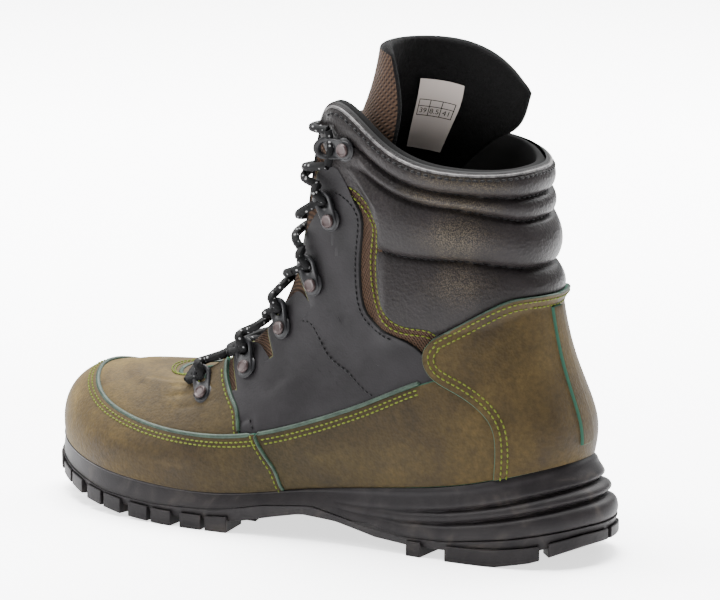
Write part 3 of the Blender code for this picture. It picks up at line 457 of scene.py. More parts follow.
def build_shell():
    """The woven base outside, a rim, and the lining inside, in one hollow piece."""
    u = np.arange(SHELL_COLUMNS + 1) / SHELL_COLUMNS
    outer_v = np.linspace(0, 1, SHELL_ROWS)[:, None]
    edge = np.interp(outer_v, [place[1] for place in COLLAR_FRONT_EDGE], [place[0] for place in COLLAR_FRONT_EDGE])
    covered = (1 - fade(side_turn(u) - edge, -0.012, -0.003)) * fade(outer_v, 0.60, 0.66)
    outer = skin(u, outer_v, -0.0019 * covered)
    inner = lining(u, np.linspace(1, 0, LINING_ROWS)[:, None])
    rim = outer[-1] + (inner[0] - outer[-1]) * (np.arange(1, RIM_ROWS) / RIM_ROWS)[:, None, None]
    lift = np.sin(np.pi * np.arange(1, RIM_ROWS) / RIM_ROWS)[:, None, None]
    upward = unit(outer[-1] - outer[-2])
    rim = rim + upward * lift * UPPER_WALL * 0.5
    grid = np.concatenate([outer, rim, inner])
    faces = grid_faces(*grid.shape[:2])
    columns = SHELL_COLUMNS
    hidden = (covered[:, :-1] > 0.5).ravel().tolist()
    slots = [0 if number < (SHELL_ROWS - 2) * columns and not hidden[number] else 1 for number in range(len(faces))]
    shell = add_piece("shell", grid, faces, [SHELL_CLOTH, LINING_CLOTH], slots, cloth_lengths(grid))
    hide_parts("upper")


build_shell()

# Leather panels
# Each is a leaf laid on the shell between curves of (u, v) places read off the photo, with a cut
# edge in its own colour. Marks are creases, rubs and spots on it, and painted highlights along
# creases, on the vamp and on the collar's rolls. The inner side mirrors the outer.
TEAL = (0.016, 0.046, 0.031)
EDGE_SPLAY = 0.0007


def smooth_path(places, share):
    """Places along the smooth curve through the given ones, at shares of its length."""
    knots = np.array(places, float)
    if len(knots) == 2:
        return knots[0] + (knots[1] - knots[0]) * np.asarray(share)[..., None]
    fine = open_curve(knots, np.linspace(0, 1, 400))
    walked = walk(last_point(fine[:, 0], fine[:, 1]))
    return pairs(*(np.interp(share, walked / walked[-1], fine[:, k]) for k in (0, 1)))


def patch(low, high, left, right):
    """Grid of places inside four border paths, each an array of places."""
    rows, columns = len(left), len(low)
    s = np.linspace(0, 1, rows)[:, None, None]
    a = np.linspace(0, 1, columns)[None, :, None]
    across = (1 - s) * low[None] + s * high[None]
    upward = (1 - a) * left[:, None] + a * right[:, None]
    corners = ((1 - a) * (1 - s) * low[0] + a * (1 - s) * low[-1] + (1 - a) * s * high[0] + a * s * high[-1])
    return across + upward - corners


def mirrored(places):
    """The same places on the other side of the boot, in the order that keeps faces out."""
    flipped = places[:, ::-1].copy()
    flipped[..., 0] = 1 - flipped[..., 0]
    return flipped


def other_side(path):
    """A path's places on the other side of the boot."""
    return path * [-1, 1] + [1, 0]


def border_of(rows, columns):
    """Row and column numbers once round a grid's border."""
    loop = [(0, k) for k in range(columns)] + [(k, columns - 1) for k in range(1, rows)]
    loop += [(rows - 1, k) for k in range(columns - 2, -1, -1)] + [(k, 0) for k in range(rows - 2, 0, -1)]
    return np.array(loop)


Mark = namedtuple("Mark", "places width depth shade")
# A positive shade lightens the leather: along creases and ridges that is a painted highlight. A negative shade darkens
# it.
TOE_MARKS = [
    Mark([(0.452, 0.470), (0.470, 0.380)], 0.0050, -0.0002, 0.10),
    Mark([(0.330, 0.300), (0.352, 0.330)], 0.0030, 0.0000, 0.14),
    Mark([(0.338, 0.260), (0.366, 0.300)], 0.0014, 0.0000, 0.20),
    Mark([(0.440, 0.300), (0.446, 0.290)], 0.0080, 0.0000, -0.10),
    Mark([(0.300, 0.200), (0.420, 0.180)], 0.0120, 0.0004, -0.06),
]
SIDE_MARKS = [
    Mark([(0.180, 0.420), (0.236, 0.380)], 0.0060, -0.0005, -0.10),
    Mark([(0.205, 0.300), (0.255, 0.260)], 0.0045, -0.0004, 0.06),
    Mark([(0.150, 0.250), (0.190, 0.180)], 0.0080, 0.0003, 0.05),
]
COUNTER_MARKS = [
    Mark([(0.020, 0.600), (0.085, 0.560)], 0.0080, -0.0003, 0.08),
    Mark([(0.035, 0.380), (0.060, 0.300)], 0.0090, 0.0003, -0.09),
    Mark([(0.085, 0.420), (0.105, 0.300)], 0.0040, -0.0004, -0.08),
]
VAMP_MARKS = [
    # Painted highlights: light streaks along the vamp's creases, fanning from the throat.
    Mark([(0.392, 0.900), (0.415, 0.850), (0.438, 0.815)], 0.0016, -0.0004, 0.20),
    Mark([(0.385, 0.860), (0.402, 0.822), (0.428, 0.782), (0.440, 0.740)], 0.0014, -0.0005, 0.26),
    Mark([(0.377, 0.825), (0.392, 0.790), (0.412, 0.757)], 0.0018, -0.0005, 0.22),
    Mark([(0.368, 0.780), (0.384, 0.742), (0.398, 0.700)], 0.0020, -0.0006, 0.16),
    Mark([(0.357, 0.725), (0.368, 0.690), (0.380, 0.662)], 0.0018, -0.0004, 0.08),
    Mark([(0.420, 0.905), (0.448, 0.870), (0.470, 0.850)], 0.0022, -0.0005, 0.16),
    Mark([(0.440, 0.800), (0.500, 0.772), (0.560, 0.806)], 0.0050, -0.0007, 0.06),
    Mark([(0.425, 0.690), (0.480, 0.668), (0.570, 0.690)], 0.0060, -0.0006, 0.04),
    Mark([(0.608, 0.900), (0.585, 0.850), (0.562, 0.815)], 0.0016, -0.0005, 0.18),
    Mark([(0.620, 0.840), (0.600, 0.800), (0.572, 0.762)], 0.0016, -0.0005, 0.20),
    Mark([(0.632, 0.785), (0.615, 0.745), (0.600, 0.700)], 0.0020, -0.0006, 0.14),
    Mark([(0.434, 0.708), (0.437, 0.703)], 0.0022, 0.0000, -0.42),
    Mark([(0.460, 0.600), (0.490, 0.590)], 0.0110, 0.0004, 0.06),
    # Painted light: a broad lighter band over the vamp, as if lit from above.
    Mark([(0.400, 0.760), (0.500, 0.720), (0.600, 0.760)], 0.0500, 0.0000, 0.11),
]
QUARTER_MARKS = [
    Mark([(0.240, 0.800), (0.262, 0.770), (0.285, 0.745)], 0.0030, -0.0007, 0.0),
    Mark([(0.236, 0.745), (0.262, 0.712), (0.290, 0.690)], 0.0034, -0.0008, 0.0),
    Mark([(0.226, 0.690), (0.250, 0.655), (0.280, 0.640)], 0.0036, -0.0007, 0.0),
    Mark([(0.300, 0.760), (0.318, 0.720)], 0.0030, -0.0006, 0.0),
    Mark([(0.296, 0.556), (0.312, 0.619), (0.318, 0.560)], 0.0014, -0.0006, 0.0),
]
COLLAR_MARKS = [
    # Painted highlights: brownish patches of light on the middle of the collar's rolls, on the outer side and the inner
    # side.
    Mark([(0.060, 0.979), (0.120, 0.985), (0.160, 0.985)], 0.0032, 0.0000, 0.30),
    Mark([(0.080, 0.945), (0.130, 0.952), (0.170, 0.955)], 0.0034, 0.0000, 0.32),
    Mark([(0.095, 0.893), (0.125, 0.893), (0.150, 0.890)], 0.0090, 0.0000, 0.34),
    Mark([(0.100, 0.812), (0.130, 0.806), (0.145, 0.800)], 0.0090, 0.0000, 0.26),
    Mark([(0.940, 0.979), (0.880, 0.985), (0.840, 0.985)], 0.0032, 0.0000, 0.22),
    Mark([(0.905, 0.893), (0.875, 0.893), (0.850, 0.890)], 0.0090, 0.0000, 0.24),
    Mark([(0.900, 0.812), (0.870, 0.806), (0.855, 0.800)], 0.0090, 0.0000, 0.20),
    Mark([(0.206, 0.968), (0.214, 0.955), (0.206, 0.948)], 0.0016, -0.0006, 0.00),
    Mark([(0.228, 0.944), (0.210, 0.952)], 0.0012, -0.0005, 0.00),
]


def marks_at(u, v, marks):
    """Depth and shade that a table of creases, rubs, spots and painted highlights gives each place."""
    turn = side_turn(u) if max(turn for mark in marks for turn, _ in mark.places) < 0.5 and np.min(u) > 0.5 else u
    points = last_point(turn, np.clip(v, 0, 1))
    depth, shade = np.zeros(np.shape(u)), np.zeros(np.shape(u))
    for mark in marks:
        share = np.linspace(0, 1, 60)
        path = smooth_path(mark.places, share)
        line = last_point(path[:, 0], path[:, 1])
        away = np.linalg.norm(points[..., None, :] - line, axis=-1)
        nearest = away.argmin(axis=-1)
        ends = np.minimum(1.0, 0.35 + 2.6 * np.minimum(share, 1 - share))[nearest]
        amount = np.exp(-(away.min(axis=-1) / (mark.width * (0.55 + 0.45 * ends))) ** 2) * ends
        depth, shade = depth + mark.depth * amount, shade + mark.shade * amount
    return depth, shade


def ring_faces(*rings):
    """Quads that join each ring of point numbers to the next."""
    return [(low[k], low[(k + 1) % len(low)], high[(k + 1) % len(low)], high[k])
            for low, high in zip(rings, rings[1:]) for k in range(len(low))]


def outward_faces(piece, weld=0.0, probe=None):
    """Turn the piece's faces to point out; probe is the number of a face and its outward direction."""
    body = bmesh.new()
    body.from_mesh(piece.data)
    if weld:
        bmesh.ops.remove_doubles(body, verts=body.verts, dist=weld)
    bmesh.ops.recalc_face_normals(body, faces=body.faces)
    if probe:
        body.faces.ensure_lookup_table()
        if body.faces[probe[0]].normal.dot(Vector(probe[1])) < 0:
            bmesh.ops.reverse_faces(body, faces=body.faces)
    body.to_mesh(piece.data)
    body.free()


def leaf(name, places, base, out, materials, relief=None, splay=EDGE_SPLAY, nodes=(), marks=()):
    """A leather panel over a grid of places: its face out, its cut edge splayed down to base."""
    rows, columns = places.shape[:2]
    u, v = places[..., 0], places[..., 1]
    height = out + (relief(u, v) if relief else 0.0)
    depth, shade = marks_at(u, v, marks) if marks else (0.0, np.zeros(u.shape))
    height = np.maximum(height + depth, base + 0.0003)
    face = skin(u, v, height)
    loop = border_of(rows, columns)
    rim = face[loop[:, 0], loop[:, 1]]
    normal = last_normal(u[loop[:, 0], loop[:, 1]], v[loop[:, 0], loop[:, 1]])
    tangent = np.roll(rim, -1, axis=0) - np.roll(rim, 1, axis=0)
    outward = unit(np.cross(normal, tangent))
    middle = columns // 2
    if np.dot(outward[middle], face[0, middle] - face[1, middle]) < 0:
        outward = -outward
    drop = (height if np.ndim(height) else np.full(u.shape, height))[loop[:, 0], loop[:, 1]] - base
    rounded = rim + outward * splay * 0.55 - normal * (drop * 0.28)[:, None]
    foot = rim + outward * splay - normal * drop[:, None]
    count = len(loop)
    points = np.concatenate([face.reshape(-1, 3), rounded, foot])
    lengths = cloth_lengths(face)
    edge_lengths = lengths[loop[:, 0], loop[:, 1]]
    lengths = np.concatenate([lengths.reshape(-1, 2), edge_lengths, edge_lengths])
    faces = grid_faces(rows, columns)
    slots = [0] * len(faces)
    first = (loop[:, 0] * columns + loop[:, 1]).tolist()
    second = [rows * columns + k for k in range(count)]
    third = [rows * columns + count + k for k in range(count)]
    faces += ring_faces(first, second, third)
    slots += [1] * (2 * count)
    piece = add_piece(name, points, faces, materials, slots, lengths, crease=60)
    central = (rows // 2) * (columns - 1) + (columns - 1) // 2
    outward_faces(piece, probe=(central, last_normal(u[rows // 2, columns // 2], v[rows // 2, columns // 2])))
    # The marks' shades go on as a point attribute: darker rubs and spots, and painted highlights.
    wear_and_highlight = np.concatenate([shade.ravel(), np.tile(shade[loop[:, 0], loop[:, 1]], 2)])
    piece.data.attributes.new("wear_and_highlight", "FLOAT", "POINT").data.foreach_set("value", 0.5 + wear_and_highlight)
    if nodes:
        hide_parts(*nodes)
    return piece


def worn(tree):
    """The tone that a panel's rubs and spots, and its painted highlights, give each place."""
    return node(tree, "ShaderNodeAttribute", attribute_name="wear_and_highlight").outputs["Fac"]


def nubuck_material():
    """Oiled nubuck: warm olive, mottled where it was pressed and rubbed, with a soft nap; painted shade darkens the
    middle of its length, painted light brightens the toe and heel, and the marks add rubs and painted crease
    highlights.
    """
    material, shader, tree, place = textured("olive_nubuck", (0.12, 0.09, 0.04), 0.72)
    clouds, flecks = noise(tree, place, 26.0, 7.0, 0.62, 0.4), noise(tree, place, 420.0, 4.0, 0.7)
    grain = node(tree, "ShaderNodeTexVoronoi", {"Vector": place, "Scale": 700.0}).outputs["Distance"]
    mottle = ramp(tree, clouds, (0.28, (0.014, 0.0090, 0.0028)), (0.48, (0.025, 0.0170, 0.0052)),
                  (0.70, (0.040, 0.0280, 0.0088)))
    speck = ramp(tree, flecks, (0.35, 0.72), (0.65, (1.18, 1.16, 1.12)))
    # Painted light and shade: darker along the middle of the boot's length, lighter towards the toe and heel.
    along = node(tree, "ShaderNodeSeparateXYZ", {"Vector": place}).outputs["X"]
    share = node(tree, "ShaderNodeMapRange", {"Value": along, "From Min": -0.15, "From Max": 0.15}).outputs["Result"]
    painted_length_light = ramp(tree, share, (0.0, (1.05, 1.0, 0.98)), (0.35, (0.74, 0.74, 0.84)), (0.52, (0.50, 0.53, 0.68)),
               (0.66, (0.74, 0.72, 0.80)), (0.88, (1.22, 1.16, 1.05)))
    # The marks' shades: rubs and spots darken, while painted highlights along creases and a painted light over the vamp
    # brighten.
    rubbed = ramp(tree, worn(tree), (0.0, (0.30, 0.28, 0.27)), (0.5, 1.0), (1.0, (2.5, 2.6, 2.7)))
    grained = blend(tree, "MULTIPLY", blend(tree, "MULTIPLY", mottle, painted_length_light), speck)
    dress(tree, shader, blend(tree, "MULTIPLY", grained, rubbed), calc(tree, "ADD", flecks, grain), 0.35, 0.0004)
    tree.links.new(ramp(tree, clouds, (0.3, 0.58), (0.7, 0.80)), shader.inputs["Roughness"])
    shader.inputs["Sheen Weight"].default_value = 0.02
    return material


def black_leather(name, colour, roughness, scale, depth, speckle):
    """Grained black leather; speckle is the strength of its painted brownish highlight specks, strongest where the
    marks add painted highlights.
    """
    material, shader, tree, place = textured(name, colour, roughness, 0.09)
    pebble = node(tree, "ShaderNodeTexVoronoi", {"Vector": place, "Scale": scale}, feature="SMOOTH_F1")
    height = calc(tree, "ADD", pebble.outputs["Distance"], noise(tree, place, scale * 1.7, 4.0))
    tone = ramp(tree, noise(tree, place, 60.0, 4.0), (0.3, [0.72 * part for part in colour]),
                (0.7, [1.3 * part for part in colour]))
    # Painted highlights: brownish specks of light, brightest where the marks' shade is high.
    speckle_glints = ramp(tree, noise(tree, place, 1900.0, 3.0, 0.7), (0.45, 0.0),
                (0.66, (speckle, speckle * 0.80, speckle * 0.48)))
    high = blend(tree, "MULTIPLY", speckle_glints, ramp(tree, worn(tree), (0.5, 0.06), (1.0, 1.0)))
    dress(tree, shader, blend(tree, "ADD", tone, high), height, depth, 0.0004)
    return material


NUBUCK = nubuck_material()
TEAL_EDGE, _ = plain_material("teal_edge", TEAL, 0.8)
COLLAR_LEATHER = black_leather("collar_leather", (0.0062, 0.0052, 0.0056), 0.46, 620.0, 0.6, 0.075)
PANEL_LEATHER = black_leather("panel_leather", (0.0085, 0.0078, 0.0085), 0.50, 900.0, 0.15, 0.010)
BLACK_EDGE, _ = plain_material("black_edge", (0.003, 0.003, 0.003), 0.7)

# Border curves of the panels, lowest or rearmost place first.
COUNTER_FRONT = [(0.100, 0.015), (0.100, 0.206), (0.107, 0.363), (0.130, 0.481), (0.150, 0.560), (0.158, 0.640),
                 (0.150, 0.681)]
COUNTER_TOP = [(0.000, 0.781), (0.050, 0.781), (0.080, 0.769), (0.107, 0.738), (0.125, 0.713), (0.150, 0.681)]
GUARD_TOP = [(0.120, 0.575), (0.168, 0.550), (0.205, 0.525), (0.253, 0.519), (0.302, 0.521), (0.348, 0.543),
             (0.395, 0.550), (0.440, 0.545), (0.475, 0.566), (0.500, 0.576)]
FORE_SEAM = [(0.266, 0.015), (0.270, 0.119), (0.275, 0.363), (0.290, 0.519)]
VAMP_SEAM = [(0.300, 0.500), (0.325, 0.644), (0.340, 0.713), (0.355, 0.781), (0.372, 0.869), (0.392, 0.985)]
BAND_FRONT = [(0.150, 0.500), (0.158, 0.638), (0.190, 0.713), (0.217, 0.750), (0.231, 0.785), (0.232, 0.831),
              (0.225, 0.865), (0.224, 0.890), (0.238, 0.908), (0.253, 0.925)]
FOOT_V = 0.015
SIDE_REAR = 0.085
LEATHER_SEAT = 0.0008
QUARTER_FACE = 0.0012
VAMP_FACE = 0.0019
SIDE_FACE = 0.0022
TOE_FACE = 0.0030
COUNTER_SEAT, COUNTER_FACE = 0.0010, 0.0036
COLLAR_SEAT, COLLAR_FACE = -0.0006, 0.0009
STRIP_SEAT, STRIP_FACE = 0.0034, 0.0050
STRIP_HALF = 0.0105
STRIP_SPAN = (0.150, 0.755)
Notch = namedtuple("Notch", "middle half depth")
NOTCHES = [Notch(0.2630, 0.0066, 0.118), Notch(0.2950, 0.0082, 0.126), Notch(0.3320, 0.0074, 0.140),
           Notch(0.3660, 0.0060, 0.215)]
LOBE_TOP = 0.972
LOBE_SHEAR = 0.20
LOBE_LEVEL = 0.85


def guard_top(share, start, end):
    """Places on the guards' top line between two u."""
    fine = open_curve(np.array(GUARD_TOP), np.linspace(0, 1, 300))
    u = start + (end - start) * np.asarray(share)
    turn = np.minimum(u, 1 - u)
    return pairs(u, np.interp(turn, fine[:, 0], fine[:, 1]))


def quarter_places(rows=26, columns=230):
    """The quarter, with a lobe under each eye and a notch between each two."""
    s, a = np.linspace(0, 1, rows), np.linspace(0, 1, columns)
    rear = smooth_path(BAND_FRONT, s)
    band_u, band_v = BAND_FRONT[-1]
    start = band_u - LOBE_SHEAR * (band_v - LOBE_LEVEL)
    sheared = start + (0.3705 - start) * a
    top = LOBE_TOP - (LOBE_TOP - band_v) * (1 - fade(a, 0.0, 0.06))
    for notch in NOTCHES:
        reach = np.abs(sheared - notch.middle) / notch.half
        top = top - notch.depth * (1 - fade(reach, 0.55, 1.15))
    high = pairs(sheared + LOBE_SHEAR * (top - LOBE_LEVEL), top)
    front = smooth_path([*VAMP_SEAM[:4], tuple(high[-1])], s)
    low = pairs(0.150 + 0.150 * a, 0.500)
    return patch(low, high, rear, front)


def build_panels():
    """Quarters, vamp, collar, guards, counter and heel strip, from the inside out."""
    olive, black = [NUBUCK, TEAL_EDGE], [PANEL_LEATHER, BLACK_EDGE]
    quarter = quarter_places()
    leaf("quarter_outer_leather", quarter, 0.0, QUARTER_FACE, black, nodes=["quarter_outer"],
         marks=QUARTER_MARKS)
    leaf("quarter_inner_leather", mirrored(quarter), 0.0, QUARTER_FACE, black, nodes=["quarter_inner"],
         marks=QUARTER_MARKS)

    s, a = np.linspace(0, 1, 84), np.linspace(0, 1, 260)
    near = smooth_path(VAMP_SEAM, s)
    far = other_side(near)
    low = guard_top(a, near[0, 0], 1 - near[0, 0]) - [0.0, 0.03]
    low[0], low[-1] = near[0], far[0]
    high = pairs(near[-1, 0] + (far[-1, 0] - near[-1, 0]) * a, near[-1, 1] + 0.012 * np.sin(np.pi * a) ** 0.5)
    leaf("vamp", patch(low, high, near, far), 0.0, VAMP_FACE, olive, nodes=["upper"],
         marks=VAMP_MARKS)

    s, a = np.linspace(0, 1, 120), np.linspace(0, 1, 200)
    near = smooth_path(COLLAR_FRONT_EDGE, s)
    far = near.copy()
    far[:, 0] = -far[:, 0]
    u = far[:, 0][:, None] + (near[:, 0] - far[:, 0])[:, None] * a[None, :]
    leaf("collar", pairs(u, near[:, 1][:, None]), COLLAR_SEAT, COLLAR_FACE, [COLLAR_LEATHER, BLACK_EDGE], collar_relief,
         nodes=["upper"], marks=COLLAR_MARKS)

    s, a = np.linspace(0, 1, 40), np.linspace(0, 1, 90)
    rear = pairs(SIDE_REAR, FOOT_V + (0.56 - FOOT_V) * s)
    front = smooth_path(FORE_SEAM, s) + [0.012, 0.0]
    low = pairs(SIDE_REAR + (front[0, 0] - SIDE_REAR) * a, FOOT_V)
    side = patch(low, guard_top(a, SIDE_REAR, front[-1, 0]), rear, front)
    side[..., 1] = np.minimum(side[..., 1], guard_top(0, side[..., 0], side[..., 0])[..., 1])
    leaf("side_guard_outer_leather", side, LEATHER_SEAT, SIDE_FACE, olive, nodes=["side_guard_outer"],
         marks=SIDE_MARKS)
    leaf("side_guard_inner_leather", mirrored(side), LEATHER_SEAT, SIDE_FACE, olive, nodes=["side_guard_inner"],
         marks=SIDE_MARKS)

    s, a = np.linspace(0, 1, 44), np.linspace(0, 1, 260)
    near = smooth_path(FORE_SEAM, s)
    far = other_side(near)
    low = pairs(near[0, 0] + (far[0, 0] - near[0, 0]) * a, FOOT_V)
    leaf("toe_guard_leather", patch(low, guard_top(a, near[-1, 0], far[-1, 0]), near, far), LEATHER_SEAT, TOE_FACE,
         olive, nodes=["toe_guard"], marks=TOE_MARKS)

    s, a = np.linspace(0, 1, 70), np.linspace(0, 1, 110)
    near = smooth_path(COUNTER_FRONT, s)
    middle = pairs(0.0, FOOT_V + (COUNTER_TOP[0][1] - FOOT_V) * s)
    low = pairs(near[0, 0] * a, FOOT_V)
    half = patch(low, smooth_path(COUNTER_TOP, a), middle, near)
    other = half[:, :0:-1].copy()
    other[..., 0] = -other[..., 0]
    strip = pairs(np.linspace(-STRIP_HALF, STRIP_HALF, 14)[None, :], np.linspace(*STRIP_SPAN, 60)[:, None])
    leaf("heel_strip", strip, STRIP_SEAT, STRIP_FACE, olive)
    leaf("heel_counter_leather", np.concatenate([other, half], axis=1), COUNTER_SEAT, COUNTER_FACE, olive,
         nodes=["heel_counter"], marks=COUNTER_MARKS)


def collar_relief(u, v):
    """Narrow grooves where the collar's seams pull the leather down."""
    depth = np.zeros(np.shape(u))
    for place in collar_seam_places(u)[1:4]:
        depth = depth - 0.0013 * np.exp(-((v - place) / 0.0040) ** 2) * (1 - fade(side_turn(u), 0.185, 0.225))
    return depth


build_panels()

# Rolled edges
# The raw teal edges that stand proud along the seams, the lime throat binding and the collar's piping.
BEAD_SIDES = 8
Bead = namedtuple("Bead", "name path out width height material")


def bead(name, path, out, width, height, material):
    """A half-round edge along a path of places, on the leather at out."""
    u, v = path[:, 0], np.clip(path[:, 1], 0.002, 0.998)
    normal = last_normal(u, v)
    middle = skin(u, v, out)
    ahead = np.gradient(middle, axis=0)
    across = unit(np.cross(normal, ahead))
    count = len(path)
    taper = np.clip(np.minimum(np.arange(count), np.arange(count)[::-1]) / 3.0, 0.15, 1.0)[:, None]
    turns = np.linspace(-0.12 * math.pi, 1.12 * math.pi, BEAD_SIDES)
    rows = [middle + across * (width / 2 * math.cos(turn)) * taper + normal * height * math.sin(turn) * taper
            for turn in turns]
    grid = np.stack(rows)
    piece = add_piece(name, grid, grid_faces(*grid.shape[:2]), [material], lengths=cloth_lengths(grid), crease=80)
    probe = piece.data.polygons[(BEAD_SIDES // 2) * (count - 1) + count // 2]
    if probe.normal.dot(Vector(normal[count // 2])) < 0:
        piece.data.flip_normals()
    return piece


def edge_material(name, dark, light):
    """A raw or coated edge: uneven, with pale spots along it; these are worn spots on the teal and lime edges and a
    painted highlight on the collar's piping.
    """
    material, shader, tree, place = textured(name, light, 0.5, 0.2)
    spots = noise(tree, place, 260.0, 5.0, 0.7)
    dress(tree, shader, ramp(tree, spots, (0.38, dark), (0.68, light)), spots, 0.5, 0.0008)
    return material


ROLLED_TEAL = edge_material("rolled_teal", (0.003, 0.0105, 0.0058), (0.015, 0.030, 0.0185))
# Painted highlight: the piping's pale grey stands for light on a glossy black edge.
PIPING_PAINTED_HIGHLIGHT = edge_material("collar_piping", (0.008, 0.008, 0.0085), (0.085, 0.080, 0.078))
LIME_BINDING = edge_material("lime_binding", (0.030, 0.032, 0.006), (0.085, 0.090, 0.020))
TAB_LINE = [(0.384, 0.800), (0.402, 0.862), (0.432, 0.898), (0.470, 0.912), (0.500, 0.914), (0.530, 0.912),
            (0.568, 0.898), (0.598, 0.862), (0.616, 0.800)]


def build_edges():
    """Every rolled edge, outer side and inner side alike."""
    share = np.linspace(0, 1, 240)
    beads = [
        Bead("toe_top_edge", guard_top(share, 0.291, 0.709), 0.0024, 0.0024, 0.0012, ROLLED_TEAL),
        Bead("throat_tab_edge", smooth_path(TAB_LINE, share) + [0.0, 0.030], 0.0019, 0.0022, 0.0007, ROLLED_TEAL),
        Bead("collar_piping", pairs(-0.25 + 0.5 * share, 0.9965), 0.0006, 0.0014, 0.0009, PIPING_PAINTED_HIGHLIGHT),
    ]
    halves = [
        Bead("guard_top_edge", guard_top(share, 0.160, 0.289), 0.0016, 0.0022, 0.0012, ROLLED_TEAL),
        Bead("vamp_seam_edge", smooth_path(VAMP_SEAM, 0.08 + 0.90 * share), 0.0014, 0.0021, 0.0010, ROLLED_TEAL),
        Bead("fore_seam_edge", smooth_path(FORE_SEAM, 0.02 + 0.96 * share), 0.0024, 0.0018, 0.0009, ROLLED_TEAL),
        Bead("counter_top_edge", smooth_path(COUNTER_TOP, share), 0.0026, 0.0014, 0.0009, ROLLED_TEAL),
    ]
    for edge in halves:
        for side, path in both_sides(edge.path):
            beads.append(edge._replace(name=f"{edge.name}_{side}", path=path))
    quarter = quarter_places()[-1]
    for side, path in both_sides(quarter[8:222]):
        beads.append(Bead(f"throat_binding_{side}", path, 0.0002, 0.0014, 0.0010, LIME_BINDING))
    for edge in beads:
        bead(*edge)


def both_sides(path):
    """The path and its mirror on the inner side."""
    return (("outer", path), ("inner", other_side(path)))


build_edges()

# Stitches
# Rows of thread a set way inside the panels' edges. One node group sets a small thread on every
# point of a row, turned along the row and flat on the leather.
LIME = (0.058, 0.074, 0.008)
STITCH_PITCH = 0.0027
THREAD = 0.0009
COLLAR_PITCH = 0.0034
COLLAR_THREAD = 0.0013
StitchRow = namedtuple("StitchRow", "name border inside distance out thread")
QUARTER_TAIL = [(0.312, 0.622), (0.304, 0.585), (0.296, 0.545)]
QUARTER_CURVE = [(0.300, 0.850), (0.285, 0.806), (0.263, 0.725), (0.228, 0.650), (0.196, 0.550)]


def stitch_group():
    """Node group that puts a rounded thread on each point, along its ahead and facing attributes."""
    tree = bpy.data.node_groups.new("stitches", "GeometryNodeTree")
    tree.interface.new_socket("Geometry", in_out="INPUT", socket_type="NodeSocketGeometry")
    for name in ("Length", "Width", "Height"):
        tree.interface.new_socket(name, in_out="INPUT", socket_type="NodeSocketFloat")
    tree.interface.new_socket("Thread", in_out="INPUT", socket_type="NodeSocketMaterial")
    tree.interface.new_socket("Geometry", in_out="OUTPUT", socket_type="NodeSocketGeometry")
    given = tree.nodes.new("NodeGroupInput")
    ball = node(tree, "GeometryNodeMeshUVSphere", {"Segments": 8, "Rings": 5, "Radius": 0.5})
    size = node(tree, "ShaderNodeCombineXYZ", {0: given.outputs["Length"], 1: given.outputs["Width"],
                                               2: given.outputs["Height"]})
    thread = node(tree, "GeometryNodeTransform", {"Geometry": ball.outputs["Mesh"], "Scale": size.outputs[0]})
    ahead = node(tree, "GeometryNodeInputNamedAttribute", {"Name": "ahead"}, data_type="FLOAT_VECTOR")
    facing = node(tree, "GeometryNodeInputNamedAttribute", {"Name": "facing"}, data_type="FLOAT_VECTOR")
    turned = node(tree, "FunctionNodeAxesToRotation", {0: ahead.outputs[0], 1: facing.outputs[0]},
                  primary_axis="X", secondary_axis="Z")
    placed = node(tree, "GeometryNodeInstanceOnPoints", {"Points": given.outputs["Geometry"],
                  "Instance": thread.outputs["Geometry"], "Rotation": turned.outputs[0]})
    real = node(tree, "GeometryNodeRealizeInstances", {"Geometry": placed.outputs[0]})
    smooth = node(tree, "GeometryNodeSetShadeSmooth", {"Geometry": real.outputs[0]})
    done = node(tree, "GeometryNodeSetMaterial", {"Geometry": smooth.outputs[0], "Material": given.outputs["Thread"]})
    tree.links.new(done.outputs[0], tree.nodes.new("NodeGroupOutput").inputs[0])
    return tree


STITCHES = stitch_group()


def baked(seed):
    """The mesh that an object's modifiers or letters make; the object itself goes."""
    bpy.context.view_layer.update()
    made = bpy.data.meshes.new_from_object(seed.evaluated_get(bpy.context.evaluated_depsgraph_get()))
    bpy.data.objects.remove(seed, do_unlink=True)
    return made


def inset(path, distance, inside):
    """A path of places moved sideways over the surface, towards the side where inside lies."""
    step = 0.001
    u, v = path[:, 0], np.clip(path[:, 1], step, 1 - step)
    point, normal = last_point(u, v), last_normal(u, v)
    ahead = np.gradient(point, axis=0)
    side = unit(np.cross(normal, ahead))
    middle = len(path) // 2
    if np.dot(side[middle], last_point(*inside) - point[middle]) < 0:
        side = -side
    round_by = (last_point(u + step, v) - last_point(u - step, v)) / (2 * step)
    low, high = np.clip(v - step, 0, 1), np.clip(v + step, 0, 1)
    up_by = (last_point(u, high) - last_point(u, low)) / (high - low)[:, None]
    a, b, c = ((p * q).sum(-1) for p, q in ((round_by, round_by), (round_by, up_by), (up_by, up_by)))
    e, f = (side * round_by).sum(-1) * distance, (side * up_by).sum(-1) * distance
    whole = a * c - b * b
    return path + np.stack([(c * e - b * f) / whole, (a * f - b * e) / whole], axis=-1)


